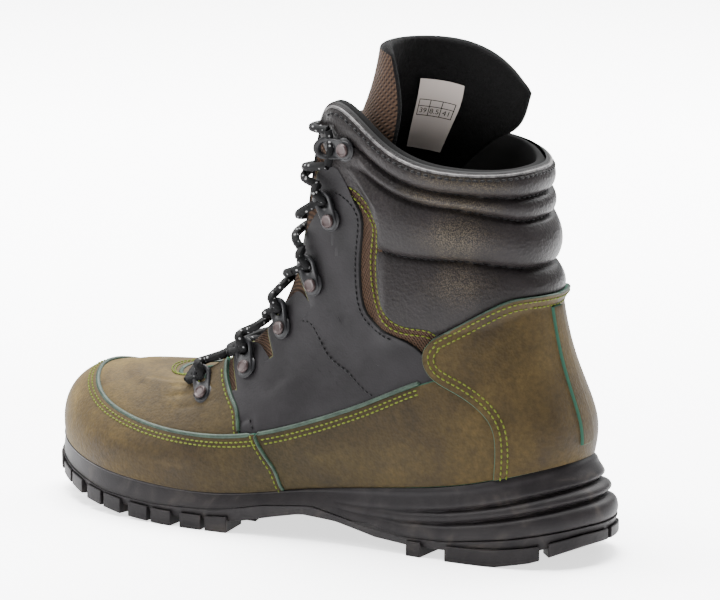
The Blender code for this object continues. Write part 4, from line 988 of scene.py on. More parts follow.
def stitches(name, path, out, thread, pitch=STITCH_PITCH, width=THREAD, height=THREAD):
    """A row of stitches along a path of places, on the leather at out."""
    places = np.array(path, float)
    places[:, 1] = np.clip(places[:, 1], 0, 1)
    points = skin(places[:, 0], places[:, 1], out)
    walked = walk(points)
    count = max(2, int(walked[-1] / pitch))
    stops = (np.arange(count) + 0.5) / count * walked[-1]
    spots = np.stack([np.interp(stops, walked, points[:, k]) for k in range(3)], axis=-1)
    heading = np.gradient(spots, axis=0)
    u, v = (np.interp(stops, walked, places[:, k]) for k in (0, 1))
    facing = last_normal(u, v)
    mesh = bpy.data.meshes.new(name)
    mesh.from_pydata(spots.tolist(), [], [])
    for key, values in (("ahead", heading), ("facing", facing)):
        mesh.attributes.new(key, "FLOAT_VECTOR", "POINT").data.foreach_set("vector", values.ravel())
    seed = add_object(name + "_row", mesh)
    modifier = seed.modifiers.new("stitches", "NODES")
    modifier.node_group = STITCHES
    inputs = {item.name: item.identifier for item in STITCHES.interface.items_tree if item.in_out == "INPUT"}
    for key, value in (("Length", pitch * 0.80), ("Width", width), ("Height", height), ("Thread", thread)):
        modifier[inputs[key]] = value
    made = baked(seed)
    made.name = name
    piece = add_object(name, made)
    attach(piece, "root")
    return piece


LIME_THREAD, _ = plain_material("lime_thread", LIME, 0.7)
BLACK_THREAD, _ = plain_material("black_thread", (0.0020, 0.0020, 0.0022), 0.5)


def build_stitches():
    """All the rows of thread, outer side and inner side alike."""
    share = np.linspace(0, 1, 160)
    toe_top = guard_top(share, 0.292, 0.708)
    for distance in (0.0030, 0.0052):
        stitches(f"toe_guard_row_{round(distance * 1e4)}", inset(toe_top, distance, (0.5, 0.2)), 0.0031, LIME_THREAD)
    rows = [
        StitchRow("side_guard_top", guard_top(share, 0.163, 0.287), (0.22, 0.2), 0.0030, 0.0023, LIME_THREAD),
        StitchRow("side_guard_second", guard_top(share, 0.163, 0.287), (0.22, 0.2), 0.0052, 0.0023, LIME_THREAD),
        StitchRow("fore_seam", smooth_path(FORE_SEAM, share), (0.5, 0.2), 0.0022, 0.0031, LIME_THREAD),
        StitchRow("vamp_seam", smooth_path(VAMP_SEAM, share * 0.88), (0.5, 0.6), 0.0022, 0.0020, LIME_THREAD),
        StitchRow("counter_front", smooth_path(COUNTER_FRONT, share), (0.0, 0.3), 0.0030, 0.0037, LIME_THREAD),
        StitchRow("counter_second", smooth_path(COUNTER_FRONT, share), (0.0, 0.3), 0.0058, 0.0037, LIME_THREAD),
        StitchRow("counter_top", smooth_path(COUNTER_TOP, share), (0.05, 0.5), 0.0018, 0.0037, LIME_THREAD),
        StitchRow("counter_top_second", smooth_path(COUNTER_TOP, share), (0.05, 0.5), 0.0050, 0.0037, LIME_THREAD),
        StitchRow("band_rear", smooth_path(COLLAR_FRONT_EDGE, 0.06 + 0.70 * share), (0.25, 0.7), 0.0008, 0.0004,
                  LIME_THREAD),
        StitchRow("band_middle", smooth_path(COLLAR_FRONT_EDGE, 0.06 + 0.74 * share), (0.25, 0.7), 0.0040, 0.0004,
                  LIME_THREAD),
        StitchRow("quarter_rear", smooth_path(BAND_FRONT, 0.30 + 0.70 * share), (0.27, 0.7), 0.0020, 0.0013,
                  BLACK_THREAD),
        StitchRow("quarter_tail", smooth_path(QUARTER_TAIL, share), (0.30, 0.6), 0.0, 0.0012, BLACK_THREAD),
        StitchRow("quarter_curve", smooth_path(QUARTER_CURVE, share), (0.30, 0.6), 0.0, 0.0012, BLACK_THREAD),
    ]
    for row in rows:
        for side, path in both_sides(row.border):
            inside = row.inside if side == "outer" else (1 - row.inside[0], row.inside[1])
            stitches(f"{row.name}_{side}", inset(path, row.distance, inside), row.out, row.thread)
    for number, drop in enumerate((0.0, 0.016), start=1):
        stitches(f"throat_tab_row_{number}", smooth_path(TAB_LINE, share) - [0.0, drop], 0.0020, LIME_THREAD)
    turns = np.linspace(-0.198, 0.198, 300)
    for number in (1, 2, 3):
        level = collar_seam_places(turns)[number]
        stitches(f"collar_seam_{number}", pairs(turns, level), 0.0001, BLACK_THREAD, COLLAR_PITCH,
                 COLLAR_THREAD, 0.0010)
    turns = np.linspace(-0.245, 0.245, 300)
    stitches("collar_top_row", pairs(turns, 0.990), 0.0010, BLACK_THREAD, COLLAR_PITCH, COLLAR_THREAD, 0.0011)


build_stitches()

# Midsole and outsole
# The sidewall's ridges grow towards the heel. The tread plate has flat lugs with worn edges round
# its rim and slanted bars in the middle of the forefoot.
Line = namedtuple("Line", "along height")
PARTING_LINE = [
    Line(0.00, 0.0195), Line(0.10, 0.0135), Line(0.20, 0.0092), Line(0.28, 0.0084),
    Line(0.36, 0.0120), Line(0.44, 0.0175), Line(0.52, 0.0155), Line(0.60, 0.0106),
    Line(0.72, 0.0094), Line(0.82, 0.0112), Line(0.92, 0.0168), Line(1.00, 0.0232),
]
TREAD_LINE = [
    Line(0.00, 0.0110), Line(0.06, 0.0034), Line(0.12, 0.0000), Line(0.28, 0.0000),
    Line(0.70, 0.0000), Line(0.78, 0.0016), Line(0.86, 0.0050), Line(0.93, 0.0098), Line(1.00, 0.0155),
]
PLATE_LINE = [
    Line(0.00, 0.0135), Line(0.06, 0.0082), Line(0.13, 0.0050), Line(0.27, 0.0045),
    Line(0.33, 0.0060), Line(0.40, 0.0110), Line(0.46, 0.0126), Line(0.51, 0.0096),
    Line(0.56, 0.0062), Line(0.60, 0.0046), Line(0.70, 0.0046), Line(0.78, 0.0062),
    Line(0.86, 0.0094), Line(0.93, 0.0134), Line(1.00, 0.0188),
]
Ridge = namedtuple("Ridge", "share out")
SOLE_PROFILE = [
    Ridge(0.00, 0.0000), Ridge(0.10, 0.0009), Ridge(0.24, 0.0010), Ridge(0.32, -0.0004), Ridge(0.36, -0.0022),
    Ridge(0.42, 0.0000), Ridge(0.50, 0.0008), Ridge(0.56, -0.0004), Ridge(0.60, -0.0022), Ridge(0.66, 0.0000),
    Ridge(0.76, 0.0006), Ridge(0.90, 0.0002), Ridge(1.00, 0.0),
]
LIP_REACH = 0.0028
SOLE_FLARE = 1.6
OUTSOLE_REACH = 0.0008
SOLE_COLUMNS = 360
SOLE_ROWS = 56
LUG_PAIRS = 5
LUG_LENGTH = 0.0118
SIPE = 0.0022
NOTCH = 0.0052
PLATE_DRAFT = 0.0012
LUG_PROUD = 0.0014
LUG_SEAT = 0.0010
LUG_WRAP = 0.0017
LUG_TAPER = 0.82
EDGE_LUG_WIDTH = 0.0190
HEEL_LUG_WIDTH = 0.0230
HEEL_LUG_SPANS = [(0.0015, 0.036), (0.040, 0.087), (0.100, 0.108),
                  (-0.0015, -0.036), (-0.040, -0.087), (-0.100, -0.108)]
MIDDLE_ROWS = 6
MIDDLE_START = 0.600
MIDDLE_PITCH = 0.0165
MIDDLE_LENGTH = 0.0090
MIDDLE_SLANT = 0.0060
MIDDLE_NEAR = 0.0030
MIDDLE_FAR = 0.0240
LUG_BEVEL = 0.0007


def line_height(table, x):
    """Height of a line of the sole at x."""
    along = (np.asarray(x) - BOOT_SHIFT[0]) / SOLE_LENGTH + 0.5
    fine = np.linspace(-0.02, 1.02, 300)
    heights = np.interp(fine, [row.along for row in table], [row.height for row in table])
    return np.interp(along, fine, heights)


def sole_ring(u, z, out):
    """The sole's outline at a height, out from its widest line."""
    knots = ring_knots(SOLE_SIDE)
    ring, step = loop_curve(knots, u), 0.002
    along = loop_curve(knots, u + step) - loop_curve(knots, u - step)
    normal = unit(np.stack([-along[..., 1], along[..., 0], np.zeros(len(along))], axis=-1))
    ring = ring + normal * np.broadcast_to(out, u.shape)[..., None]
    ring[:, 2] = z
    return ring


def rubber_material():
    """Dull black rubber with a fine tooth and pale rubbed spots."""
    material, shader, tree, place = textured("black_rubber", (0.022, 0.022, 0.024), 0.55)
    tone = ramp(tree, noise(tree, place, 55.0, 6.0, distortion=1.2), (0.40, (0.0058, 0.0050, 0.0054)),
                (0.58, (0.0090, 0.0078, 0.0080)), (0.72, (0.019, 0.016, 0.0145)))
    dress(tree, shader, tone, noise(tree, place, 900.0, 4.0), 0.25, 0.0003)
    return material


RUBBER = rubber_material()


def build_midsole():
    """Sidewall and body of the sole: ridged round the heel, with a lip along its top."""
    u = np.arange(SOLE_COLUMNS + 1) / SOLE_COLUMNS
    feather, normal = last_point(u, 0.0), last_normal(u, 0.0)
    normal[:, 2] = 0
    normal = unit(normal)
    lip = feather + normal * LIP_REACH
    side = sole_ring(u, 0.0, 0.0)
    outward = sole_ring(u, 0.0, 1.0) - side
    bottom = line_height(PARTING_LINE, side[:, 0]) + 0.0003
    top = feather[:, 2] + 0.0004
    shares = np.linspace(0, 1, SOLE_ROWS)
    fine = open_curve(np.array([(row.share, row.out) for row in SOLE_PROFILE]), np.linspace(0, 1, 300))
    heel = (1 - fade(side_turn(u), 0.06, 0.235)) ** 0.8
    rows = []
    for share in shares:
        blend = share ** SOLE_FLARE
        shifted = np.clip(share + 0.10 * (1 - heel) * np.sin(np.pi * share), 0, 1)
        ridge = np.interp(shifted, fine[:, 0], fine[:, 1])
        row = side * (1 - blend) + lip * blend + outward * (ridge * heel * 1.3)[:, None]
        row = row + outward * (0.0006 * np.exp(-((share - 0.93) / 0.05) ** 2))
        row[:, 2] = bottom + (top - bottom) * share
        rows.append(row)
    for reach, drop in ((0.0004, 0.0), (0.0014, 0.0002), (0.0034, 0.0012)):
        row = lip - normal * reach
        row[:, 2] = top - drop
        rows.append(row)
    under = side - outward * 0.004
    under[:, 2] = bottom
    grid = np.stack([under, *rows])
    piece = add_piece("midsole_rubber", grid, grid_faces(*grid.shape[:2]), [RUBBER], crease=65)
    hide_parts("midsole")


def edge_walk(side):
    """The sole's edge from the toe tip back along one side, with the length walked so far."""
    turns = np.linspace(0.5, 0.0 if side > 0 else 1.0, 400)
    return turns, walk(sole_ring(turns, 0.0, 0.0)[:, :2])


def lug_prism(turn_start, turn_end, width):
    """Corners of a lug whose outer face follows the sole's edge, bottom row first."""
    turns = np.linspace(turn_start, turn_end, 9)
    outer = sole_ring(turns, 0.0, LUG_PROUD)
    inner = sole_ring(turns, 0.0, -width)[::-1]
    middle = inner.mean(axis=0)
    inner = middle + (inner - middle) * LUG_TAPER
    corners = np.concatenate([outer, inner])
    low, high = corners.copy(), corners.copy()
    low[:, 2] = line_height(TREAD_LINE, corners[:, 0])
    high[:, 2] = line_height(PLATE_LINE, corners[:, 0]) + LUG_SEAT
    high[:9, 2] += LUG_WRAP
    return low, high


def lug_prisms():
    """Every lug: round the forefoot, round the heel, and the slanted bars in the middle."""
    prisms = []
    for side in (1, -1):
        turns, walked = edge_walk(side)
        spans = []
        for pair in range(LUG_PAIRS):
            start = NOTCH / 2 + pair * (2 * LUG_LENGTH + SIPE + NOTCH)
            spans += [(start, start + LUG_LENGTH), (start + LUG_LENGTH + SIPE, start + 2 * LUG_LENGTH + SIPE)]
        prisms += [lug_prism(*np.interp(span, walked, turns), EDGE_LUG_WIDTH) for span in spans]
        for start, end in HEEL_LUG_SPANS:
            if start * side > 0:
                places = np.interp(walked[-1] - np.abs([start, end]), walked, turns)
                prisms.append(lug_prism(*places, HEEL_LUG_WIDTH))
    for row in range(MIDDLE_ROWS):
        x = (MIDDLE_START - 0.5) * SOLE_LENGTH + row * MIDDLE_PITCH
        for side in (1, -1):
            near, far = side * MIDDLE_NEAR, side * MIDDLE_FAR
            plan = np.array([(x, near, 0), (x + MIDDLE_LENGTH, near, 0),
                             (x + MIDDLE_LENGTH - MIDDLE_SLANT, far, 0), (x - MIDDLE_SLANT, far, 0)])
            plan = plan + BOOT_SHIFT
            low, high = plan.copy(), plan.copy()
            low[:, 2] = line_height(TREAD_LINE, plan[:, 0])
            high[:, 2] = line_height(PLATE_LINE, plan[:, 0]) + LUG_SEAT
            prisms.append((low, high))
    return prisms


def build_outsole():
    """Tread plate and lugs, with worn edges."""
    u = np.arange(SOLE_COLUMNS) / SOLE_COLUMNS
    base = sole_ring(u, 0.0, OUTSOLE_REACH)
    top = line_height(PARTING_LINE, base[:, 0])
    bottom = line_height(PLATE_LINE, base[:, 0])
    low, high = sole_ring(u, bottom, -PLATE_DRAFT), sole_ring(u, top, OUTSOLE_REACH)
    points, faces = [], []
    for prism in [(low, high), *lug_prisms()]:
        first, count = len(points), len(prism[0])
        points += np.concatenate(prism).tolist()
        lower = list(range(first, first + count))
        upper = list(range(first + count, first + 2 * count))
        faces += [tuple(lower[::-1]), tuple(upper), *ring_faces(lower, upper)]
    piece = add_piece("outsole_rubber", points, faces, [RUBBER], crease=35)
    outward_faces(piece)
    bevel = piece.modifiers.new("worn edges", "BEVEL")
    bevel.width = LUG_BEVEL
    bevel.segments = 2
    bevel.limit_method = "ANGLE"
    bevel.angle_limit = math.radians(40)
    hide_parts("outsole")


build_midsole()
build_outsole()

# Tongue, label and footbed
# The tongue is brown woven cloth outside and thick black fleece inside, wrapped round the shin. The
# label in it bears plain size numbers only. The footbed is hidden and assumed.
TongueRow = namedtuple("TongueRow", "along height half reach_outer reach_inner")
TONGUE = [
    TongueRow(0.788, 0.3247, 0.130, 0.050, 0.050),
    TongueRow(0.739, 0.3207, 0.160, 0.075, 0.075),
    TongueRow(0.682, 0.3327, 0.195, 0.130, 0.130),
    TongueRow(0.600, 0.4207, 0.215, 0.190, 0.190),
    TongueRow(0.530, 0.5527, 0.232, 0.240, 0.240),
    TongueRow(0.489, 0.7097, 0.240, 0.280, 0.290),
    TongueRow(0.466, 0.8647, 0.248, 0.300, 0.370),
    TongueRow(0.444, 0.9847, 0.252, 0.310, 0.470),
    TongueRow(0.411, 1.0967, 0.262, 0.260, 0.560),
    TongueRow(0.380, 1.2247, 0.285, 0.150, 0.540),
]
TONGUE_THICKNESS = 0.0060
TONGUE_DROP_OUTER = 0.003
TONGUE_DROP_INNER = 0.024
TONGUE_CORNER = 5
TONGUE_LEVEL = (0.60, 0.85)
TONGUE_DROP_FROM = 0.7
TONGUE_THIN = (0.3, 0.7)
TONGUE_THIN_SHARE = 0.45
TONGUE_EDGE_THIN = 0.5
LABEL_FOOT = (-0.825, -0.560)
LABEL_HEAD = (-0.705, -0.400)
LABEL_SHARE = (0.760, 0.920)
LABEL_THICKNESS = 0.0006
GRID_ROWS = (0.46, 0.60, 0.70)
GRID_COLUMNS = (0.07, 0.353, 0.636, 0.912)
GRID_LINE = (0.018, 0.011)
NUMBER_SIZE = 0.0039
NUMBER_FIRST = 0.2205
NUMBER_STEP = 0.283
INK_LIFT = 0.00012
SEAT_GAP = 0.0005
INSOLE_INSET = 0.0014
INSOLE_THICKNESS = 0.0040


def tongue_section(share):
    """Centre, size and reach of the tongue's section at shares of the way up it."""
    rows = np.array([(row.along, row.height, row.half, row.reach_outer, row.reach_inner) for row in TONGUE])
    return open_curve(rows, share)


def tongue_point(across, share, inward=0.0):
    """A point on the tongue: across is -1 at its inner edge and 1 at its outer edge."""
    across, share = np.broadcast_arrays(np.asarray(across, float), np.asarray(share, float))
    row, step = tongue_section(share), 0.01
    ahead = tongue_section(np.clip(share + step, 0, 1)) - tongue_section(np.clip(share - step, 0, 1))
    run = unit(pairs(ahead[..., 0] * SOLE_LENGTH, ahead[..., 1] * SHAFT_HEIGHT))
    level = fade(share, *TONGUE_LEVEL)[..., None]
    front = unit(pairs(run[..., 1], -run[..., 0]) * (1 - level) + np.array([1.0, 0.0]) * level)
    turn = across * math.pi / 2
    half = row[..., 2] * BALL_WIDTH
    reach = np.where(across > 0, row[..., 3], row[..., 4]) * BALL_WIDTH
    outward = unit(pairs(half * np.cos(turn), reach * np.sin(turn)))
    back = -reach * (1 - np.cos(turn)) - inward * outward[..., 0]
    sideways = half * np.sin(turn) - inward * outward[..., 1]
    x = (row[..., 0] - 0.5) * SOLE_LENGTH + back * front[..., 0]
    z = row[..., 1] * SHAFT_HEIGHT + back * front[..., 1]
    corner = np.where(across > 0, TONGUE_DROP_OUTER, TONGUE_DROP_INNER) * np.abs(across) ** TONGUE_CORNER
    z = z - corner * fade(share, TONGUE_DROP_FROM, 1.0)
    return np.stack([x, sideways, z], axis=-1) + BOOT_SHIFT


def fleece_material():
    """Deep black pile with grey tips."""
    material, shader, tree, place = textured("black_fleece", (0.006, 0.006, 0.007), 1.0)
    pile = noise(tree, place, 700.0, 5.0, 0.75)
    tone = ramp(tree, pile, (0.45, 0.0004), (0.72, (0.0018, 0.0017, 0.0017)))
    dress(tree, shader, tone, calc(tree, "ADD", pile, noise(tree, place, 160.0, 3.0)), 0.9, 0.0015)
    shader.inputs["Sheen Weight"].default_value = 0.02
    shader.inputs["Sheen Roughness"].default_value = 0.6
    return material


FLEECE = fleece_material()
TONGUE_CLOTH = woven_material("tongue_weave", (0.0016, 0.0009, 0.0006), (0.036, 0.0205, 0.0125), 0.0018)
LABEL_CLOTH, _ = plain_material("label_cloth", (0.34, 0.30, 0.275), 0.8)
FOOTBED, _ = plain_material("footbed", (0.005, 0.005, 0.005), 0.9)


def build_tongue():
    """The padded sheet, cloth outside and pile inside, with a rounded edge of pile."""
    rows, columns = 150, 130
    across = np.linspace(-1, 1, columns)[None, :]
    share = np.linspace(0, 1, rows)[:, None]
    thin = 1 - TONGUE_THIN_SHARE * (1 - fade(share, *TONGUE_THIN))
    pad = TONGUE_THICKNESS * thin * (1 - TONGUE_EDGE_THIN * np.abs(across) ** 6)
    near, far = tongue_point(across, share), tongue_point(across, share, pad)
    loop = border_of(rows, columns)
    first, last = near[loop[:, 0], loop[:, 1]], far[loop[:, 0], loop[:, 1]]
    middle = (first + last) / 2
    inner = near[np.clip(loop[:, 0], 2, rows - 3), np.clip(loop[:, 1], 2, columns - 3)]
    outward = unit(first - inner)
    half = np.linalg.norm(last - first, axis=-1, keepdims=True) / 2
    turns = np.linspace(0, np.pi, 7)[1:-1]
    rims = [middle + (first - middle) * np.cos(turn) + outward * half * 0.8 * np.sin(turn) for turn in turns]
    count, size = len(loop), rows * columns
    points = np.concatenate([near.reshape(-1, 3), far.reshape(-1, 3), *rims])
    faces = [face[::-1] for face in grid_faces(rows, columns)]
    slots = [0] * len(faces)
    inside = grid_faces(rows, columns, size)
    faces += inside
    slots += [1] * len(inside)
    flat = loop[:, 0] * columns + loop[:, 1]
    chain = [flat.tolist()] + [list(range(2 * size + k * count, 2 * size + (k + 1) * count)) for k in range(5)]
    chain.append((flat + size).tolist())
    faces += ring_faces(*chain)
    slots += [1] * (count * (len(chain) - 1))
    lengths = cloth_lengths(near).reshape(-1, 2)
    lengths = np.concatenate([lengths, lengths, *[lengths[flat]] * 5])
    piece = add_piece("tongue_pad", points, faces, [TONGUE_CLOTH, FLEECE], slots, lengths, crease=80)
    outward_faces(piece)
    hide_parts("tongue")


def label_point(along, up, lift):
    """A point on the label's face, along from its left edge as it is read and up from its foot."""
    along, up = np.broadcast_arrays(1 - np.asarray(along, float), np.asarray(up, float))
    foot, head, share = (ends[0] + (ends[1] - ends[0]) * part
                         for ends, part in ((LABEL_FOOT, along), (LABEL_HEAD, along), (LABEL_SHARE, up)))
    return tongue_point(foot + (head - foot) * up, share, TONGUE_THICKNESS + 2 * SEAT_GAP + LABEL_THICKNESS + lift)


def build_label():
    """The pale label, a thin sheet that follows the pile."""
    rows, columns = 24, 18
    up, along = np.linspace(0, 1, rows)[:, None], np.linspace(1, 0, columns)[None, :]
    sheets = [label_point(along, up, lift).reshape(-1, 3) for lift in (-LABEL_THICKNESS, 0.0)]
    size, loop = rows * columns, border_of(rows, columns)
    flat = loop[:, 0] * columns + loop[:, 1]
    faces = [face[::-1] for face in grid_faces(rows, columns)] + grid_faces(rows, columns, size)
    faces += ring_faces(flat.tolist(), (flat + size).tolist())
    piece = add_piece("size_label_cloth", np.concatenate(sheets), faces, [LABEL_CLOTH], crease=50)
    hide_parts("size_label")


def build_size_numbers():
    """A plain ruled row with the three sizes, printed on the label."""
    width = np.linalg.norm(label_point(1, 0.5, 0) - label_point(0, 0.5, 0))
    height = np.linalg.norm(label_point(0.5, 1, 0) - label_point(0.5, 0, 0))
    plans, faces = [], []
    wide, tall = GRID_LINE
    bars = [(GRID_COLUMNS[0], GRID_COLUMNS[-1] + wide, y, y + tall) for y in GRID_ROWS]
    bars += [(x, x + wide, GRID_ROWS[0], GRID_ROWS[-1] + tall) for x in GRID_COLUMNS]
    for left, right, low, high in bars:
        first = sum(map(len, plans))
        steps = np.linspace(left, right, 9)
        plans.append(np.concatenate([pairs(steps, low), pairs(steps, high)]))
        faces += [(first + k, first + k + 1, first + k + 10, first + k + 9) for k in range(8)]
    for number, text in enumerate(("39", "8.5", "41")):
        font = bpy.data.curves.new(f"size_{number}", "FONT")
        font.body, font.size, font.align_x, font.align_y = text, NUMBER_SIZE, "CENTER", "CENTER"
        shape = baked(add_object(f"size_{number}", font))
        first = sum(map(len, plans))
        plans.append(np.array([(NUMBER_FIRST + NUMBER_STEP * number + vertex.co.x / width,
                                (GRID_ROWS[0] + GRID_ROWS[1]) / 2 + 0.005 + vertex.co.y / height)
                               for vertex in shape.vertices]))
        faces += [tuple(first + corner for corner in face.vertices) for face in shape.polygons]
    plan = np.concatenate(plans)
    piece = add_piece("size_numbers", label_point(plan[:, 0], plan[:, 1], INK_LIFT), faces, [LABEL_INK])
    if piece.data.polygons[0].normal.dot(Vector(label_point(0.5, 0.5, 1.0) - label_point(0.5, 0.5, 0.0))) < 0:
        piece.data.flip_normals()


LABEL_INK, _ = plain_material("label_ink", (0.012, 0.011, 0.011), 0.8)


def build_footbed():
    """The footbed, dished under the heel."""
    u = np.arange(181) / 180
    normal = last_normal(u, 0.03)
    normal[:, 2] = 0
    edge = lining(u, 0.03) - normal * INSOLE_INSET
    seat = last_point(u, 0.0)[:, 2]
    spine = edge.copy()
    spine[:, 1] = (edge[:, 1] + edge[::-1, 1]) / 2
    rows = []
    for share in np.linspace(0, 0.97, 20):
        row = edge * (1 - share) + spine * share
        row[:, 2] = seat + INSOLE_THICKNESS - 0.0018 * math.sin(math.pi / 2 * share)
        rows.append(row)
    low = edge.copy()
    low[:, 2] = seat
    grid = np.stack([low, *rows])
    piece = add_piece("footbed", grid, grid_faces(*grid.shape[:2]), [FOOTBED], crease=60)
    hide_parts("insole")


build_tongue()
build_label()
build_size_numbers()
build_footbed()

# Hooks, eyes and rivets
# Satin black loops on a thick foot, with a flat rivet head in the lower end of each.
LaceSpot = namedtuple("LaceSpot", "turn place bow panel")
QUARTER_THICKNESS = 0.0012
LACE_SPOTS = [
    LaceSpot(0.372, 0.750, 0.0010, 0.0),
    LaceSpot(0.347, 0.838, 0.0010, QUARTER_THICKNESS),
    LaceSpot(0.320, 0.887, 0.0015, QUARTER_THICKNESS),
    LaceSpot(0.285, 0.869, 0.0020, QUARTER_THICKNESS),
    LaceSpot(0.260, 0.900, 0.0020, QUARTER_THICKNESS),
    LaceSpot(0.225, 0.956, 0.0020, 0.0),
]
EYE_GAP = 0.0006
EYE_REACH = 0.0098
EYE_OUTER = 0.0058
EYE_INNER = 0.0033
EYE_SEAT = 0.0050
EYE_THICKNESS = 0.0022
EYE_LIFT = 0.0024
EYE_LEAN = 0.30
HOOK_LIFT = 0.0052
HOOK_LEAN = 1.0
RIVET_RADIUS = 0.0033
RIVET_HEIGHT = 0.0014
PAD_SHIFT = 0.0006
WELD = 1e-7


def place_at(u, v, out, lean):
    """A frame on the upper: Z outward, and X from straight up to straight ahead as lean goes 0 to 1."""
    normal = Vector(last_normal(u, v))
    ahead = Vector((lean, 0, 1 - lean))
    ahead = (ahead - normal * ahead.dot(normal)).normalized()
    made = Matrix((ahead, normal.cross(ahead), normal)).transposed().to_4x4()
    made.translation = Vector(skin(u, v, out))
    return made


LoopRow = namedtuple("LoopRow", "share height")
LOOP_ROWS = [
    LoopRow(0.00, 0.00), LoopRow(0.00, 0.62), LoopRow(0.05, 0.84), LoopRow(0.17, 0.97), LoopRow(0.32, 1.00),
    LoopRow(0.62, 1.00), LoopRow(0.82, 0.93), LoopRow(0.95, 0.80), LoopRow(1.00, 0.60), LoopRow(1.00, 0.00),
]


def loop_plate(rise, sides=56):
    """Points and faces of a loop: a rounded rim from its outline to its hole, lifted at the far end."""
    turns = 2 * math.pi * (np.arange(sides) + 0.5) / sides
    away = np.stack([np.cos(turns), np.sin(turns)], axis=1)
    far = (away[:, :1] > 0)
    narrow = np.where(far, EYE_OUTER - 0.0003, EYE_SEAT - 0.0002)
    outline = np.where(far, [[EYE_REACH, 0.0]], [[0.0, 0.0]]) + away * narrow
    waist = np.exp(-((outline[:, 0] - EYE_REACH * 0.42) / 0.0045) ** 2) * 0.0009
    outline[:, 1] -= np.sign(outline[:, 1]) * waist
    hole = np.array([[EYE_REACH, 0.0]]) + away * EYE_INNER * [[1.0, 0.96]]
    flat = EYE_REACH - EYE_INNER
    rows = []
    for row in LOOP_ROWS:
        ring = outline + (hole - outline) * row.share
        lift = rise * np.maximum(0.0, ring[:, 0] - flat) / (EYE_OUTER + EYE_INNER)
        rows.append(np.column_stack([ring, EYE_THICKNESS * row.height + lift]))
    rows.append(rows[0])
    grid = np.stack(rows)
    return grid[:, np.append(np.arange(sides), 0)]


PAD_PROFILE = ((0.9, -0.0002), (1.12, 0.0), (1.16, 0.0008), (1.06, 0.0013), (0.0, 0.0013))
RIVET_PROFILE = ((1.0, 0.0), (1.0, 0.45), (0.95, 0.80), (0.86, 1.0), (0.76, 0.98), (0.66, 0.80), (0.45, 0.76),
                 (0.0, 0.76))


def turned_part(profile, size, rise=1.0, shift=0.0, sides=40):
    """Points of a round part from its profile of radius and height: the foot of a loop, or a rivet's head."""
    turns = 2 * math.pi * np.arange(sides + 1) / sides
    return np.stack([np.column_stack([size * radius * np.cos(turns) + shift, size * radius * np.sin(turns),
                                      np.full(sides + 1, rise * height)]) for radius, height in profile])


def moved(frame_at, grid):
    """The grid's points in a frame on the upper."""
    turn, place = np.array(frame_at.to_3x3()), np.array(frame_at.translation)
    return grid @ turn.T + place


BLACK_METAL, metal_shader = plain_material("black_metal", (0.0060, 0.0060, 0.0066), 0.40, 0.0, 0.13)
metal_shader.inputs["Coat Weight"].default_value = 0.03
metal_shader.inputs["Coat Roughness"].default_value = 0.25
RIVET_METAL, _ = plain_material("rivet_metal", (0.026, 0.017, 0.0165), 0.40, 0.4, 0.3)


def build_hardware():
    """Loops, hooks and rivets on both sides; gives each one's frame."""
    frames = {}
    for side, name in ((1, "outer"), (-1, "inner")):
        for count, spot in enumerate(LACE_SPOTS, start=1):
            hooked = count == len(LACE_SPOTS)
            lean, rise = (HOOK_LEAN, HOOK_LIFT) if hooked else (EYE_LEAN, EYE_LIFT)
            kind = "hook" if hooked else "eye"
            at = place_at(side * spot.turn, spot.place, spot.panel + EYE_GAP, lean)
            plate, pad = loop_plate(rise), turned_part(PAD_PROFILE, EYE_SEAT, shift=PAD_SHIFT)
            faces = grid_faces(*plate.shape[:2]) + grid_faces(*pad.shape[:2], plate.shape[0] * plate.shape[1])
            points = np.concatenate([moved(at, plate).reshape(-1, 3), moved(at, pad).reshape(-1, 3)])
            piece = add_piece(f"{kind}_{name}_{count}", points, faces, [BLACK_METAL], crease=50)
            outward_faces(piece, WELD)
            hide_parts(f"lace_{kind}_{name}_{count}")
            head = turned_part(RIVET_PROFILE, RIVET_RADIUS, RIVET_HEIGHT)
            top = at @ Matrix.Translation((0, 0, EYE_THICKNESS + 0.0003))
            rivet = add_piece(f"rivet_head_{name}_{count}", moved(top, head), grid_faces(*head.shape[:2]),
                              [RIVET_METAL], crease=40)
            outward_faces(rivet, WELD)
            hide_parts(f"rivet_{name}_{count}")
            frames[side, count] = at
    return frames


HARDWARE = build_hardware()

# Lace
# One round braided cord with pale flecks: it crosses over the tongue between the loops, and passes
# through each. Its ends stop at the top hooks, where the photo hides them.
LACE_RADIUS = 0.0021
LACE_CLEARANCE = 0.0006
LACE_LIFT = 0.0024
THROAT_TURNS = (0.25, 0.49)
LACE_EDGE_LIFT = 0.0026
LACE_EDGE_SHARE = 0.25
LACE_BAR_RISE = 0.0070
BRAID_PITCH = 0.0042


def lace_spot(side, count, upward):
    """Where a run of lace starts or ends: over or before an eye's loop, above or below a hook's."""
    at = HARDWARE[side, count]
    beyond = EYE_OUTER + LACE_RADIUS + LACE_CLEARANCE
    if count == len(LACE_SPOTS):
        return at @ Vector((EYE_REACH, 0, LACE_LIFT)) + Vector((0, 0, upward * beyond))
    if upward > 0:
        return at @ Vector((EYE_REACH + beyond, 0, LACE_LIFT))
    return at @ Vector((EYE_REACH, side * beyond, LACE_LIFT))


def throat_edge(side, z):
    """A place just off the throat's edge at a height, where a run of lace bends over it."""
    turns = np.linspace(*THROAT_TURNS, 60)
    turn = np.interp(-z, -skin(turns, 1.0)[:, 2], turns)
    return Vector(skin(side * turn, 1.0, LACE_RADIUS + LACE_EDGE_LIFT))


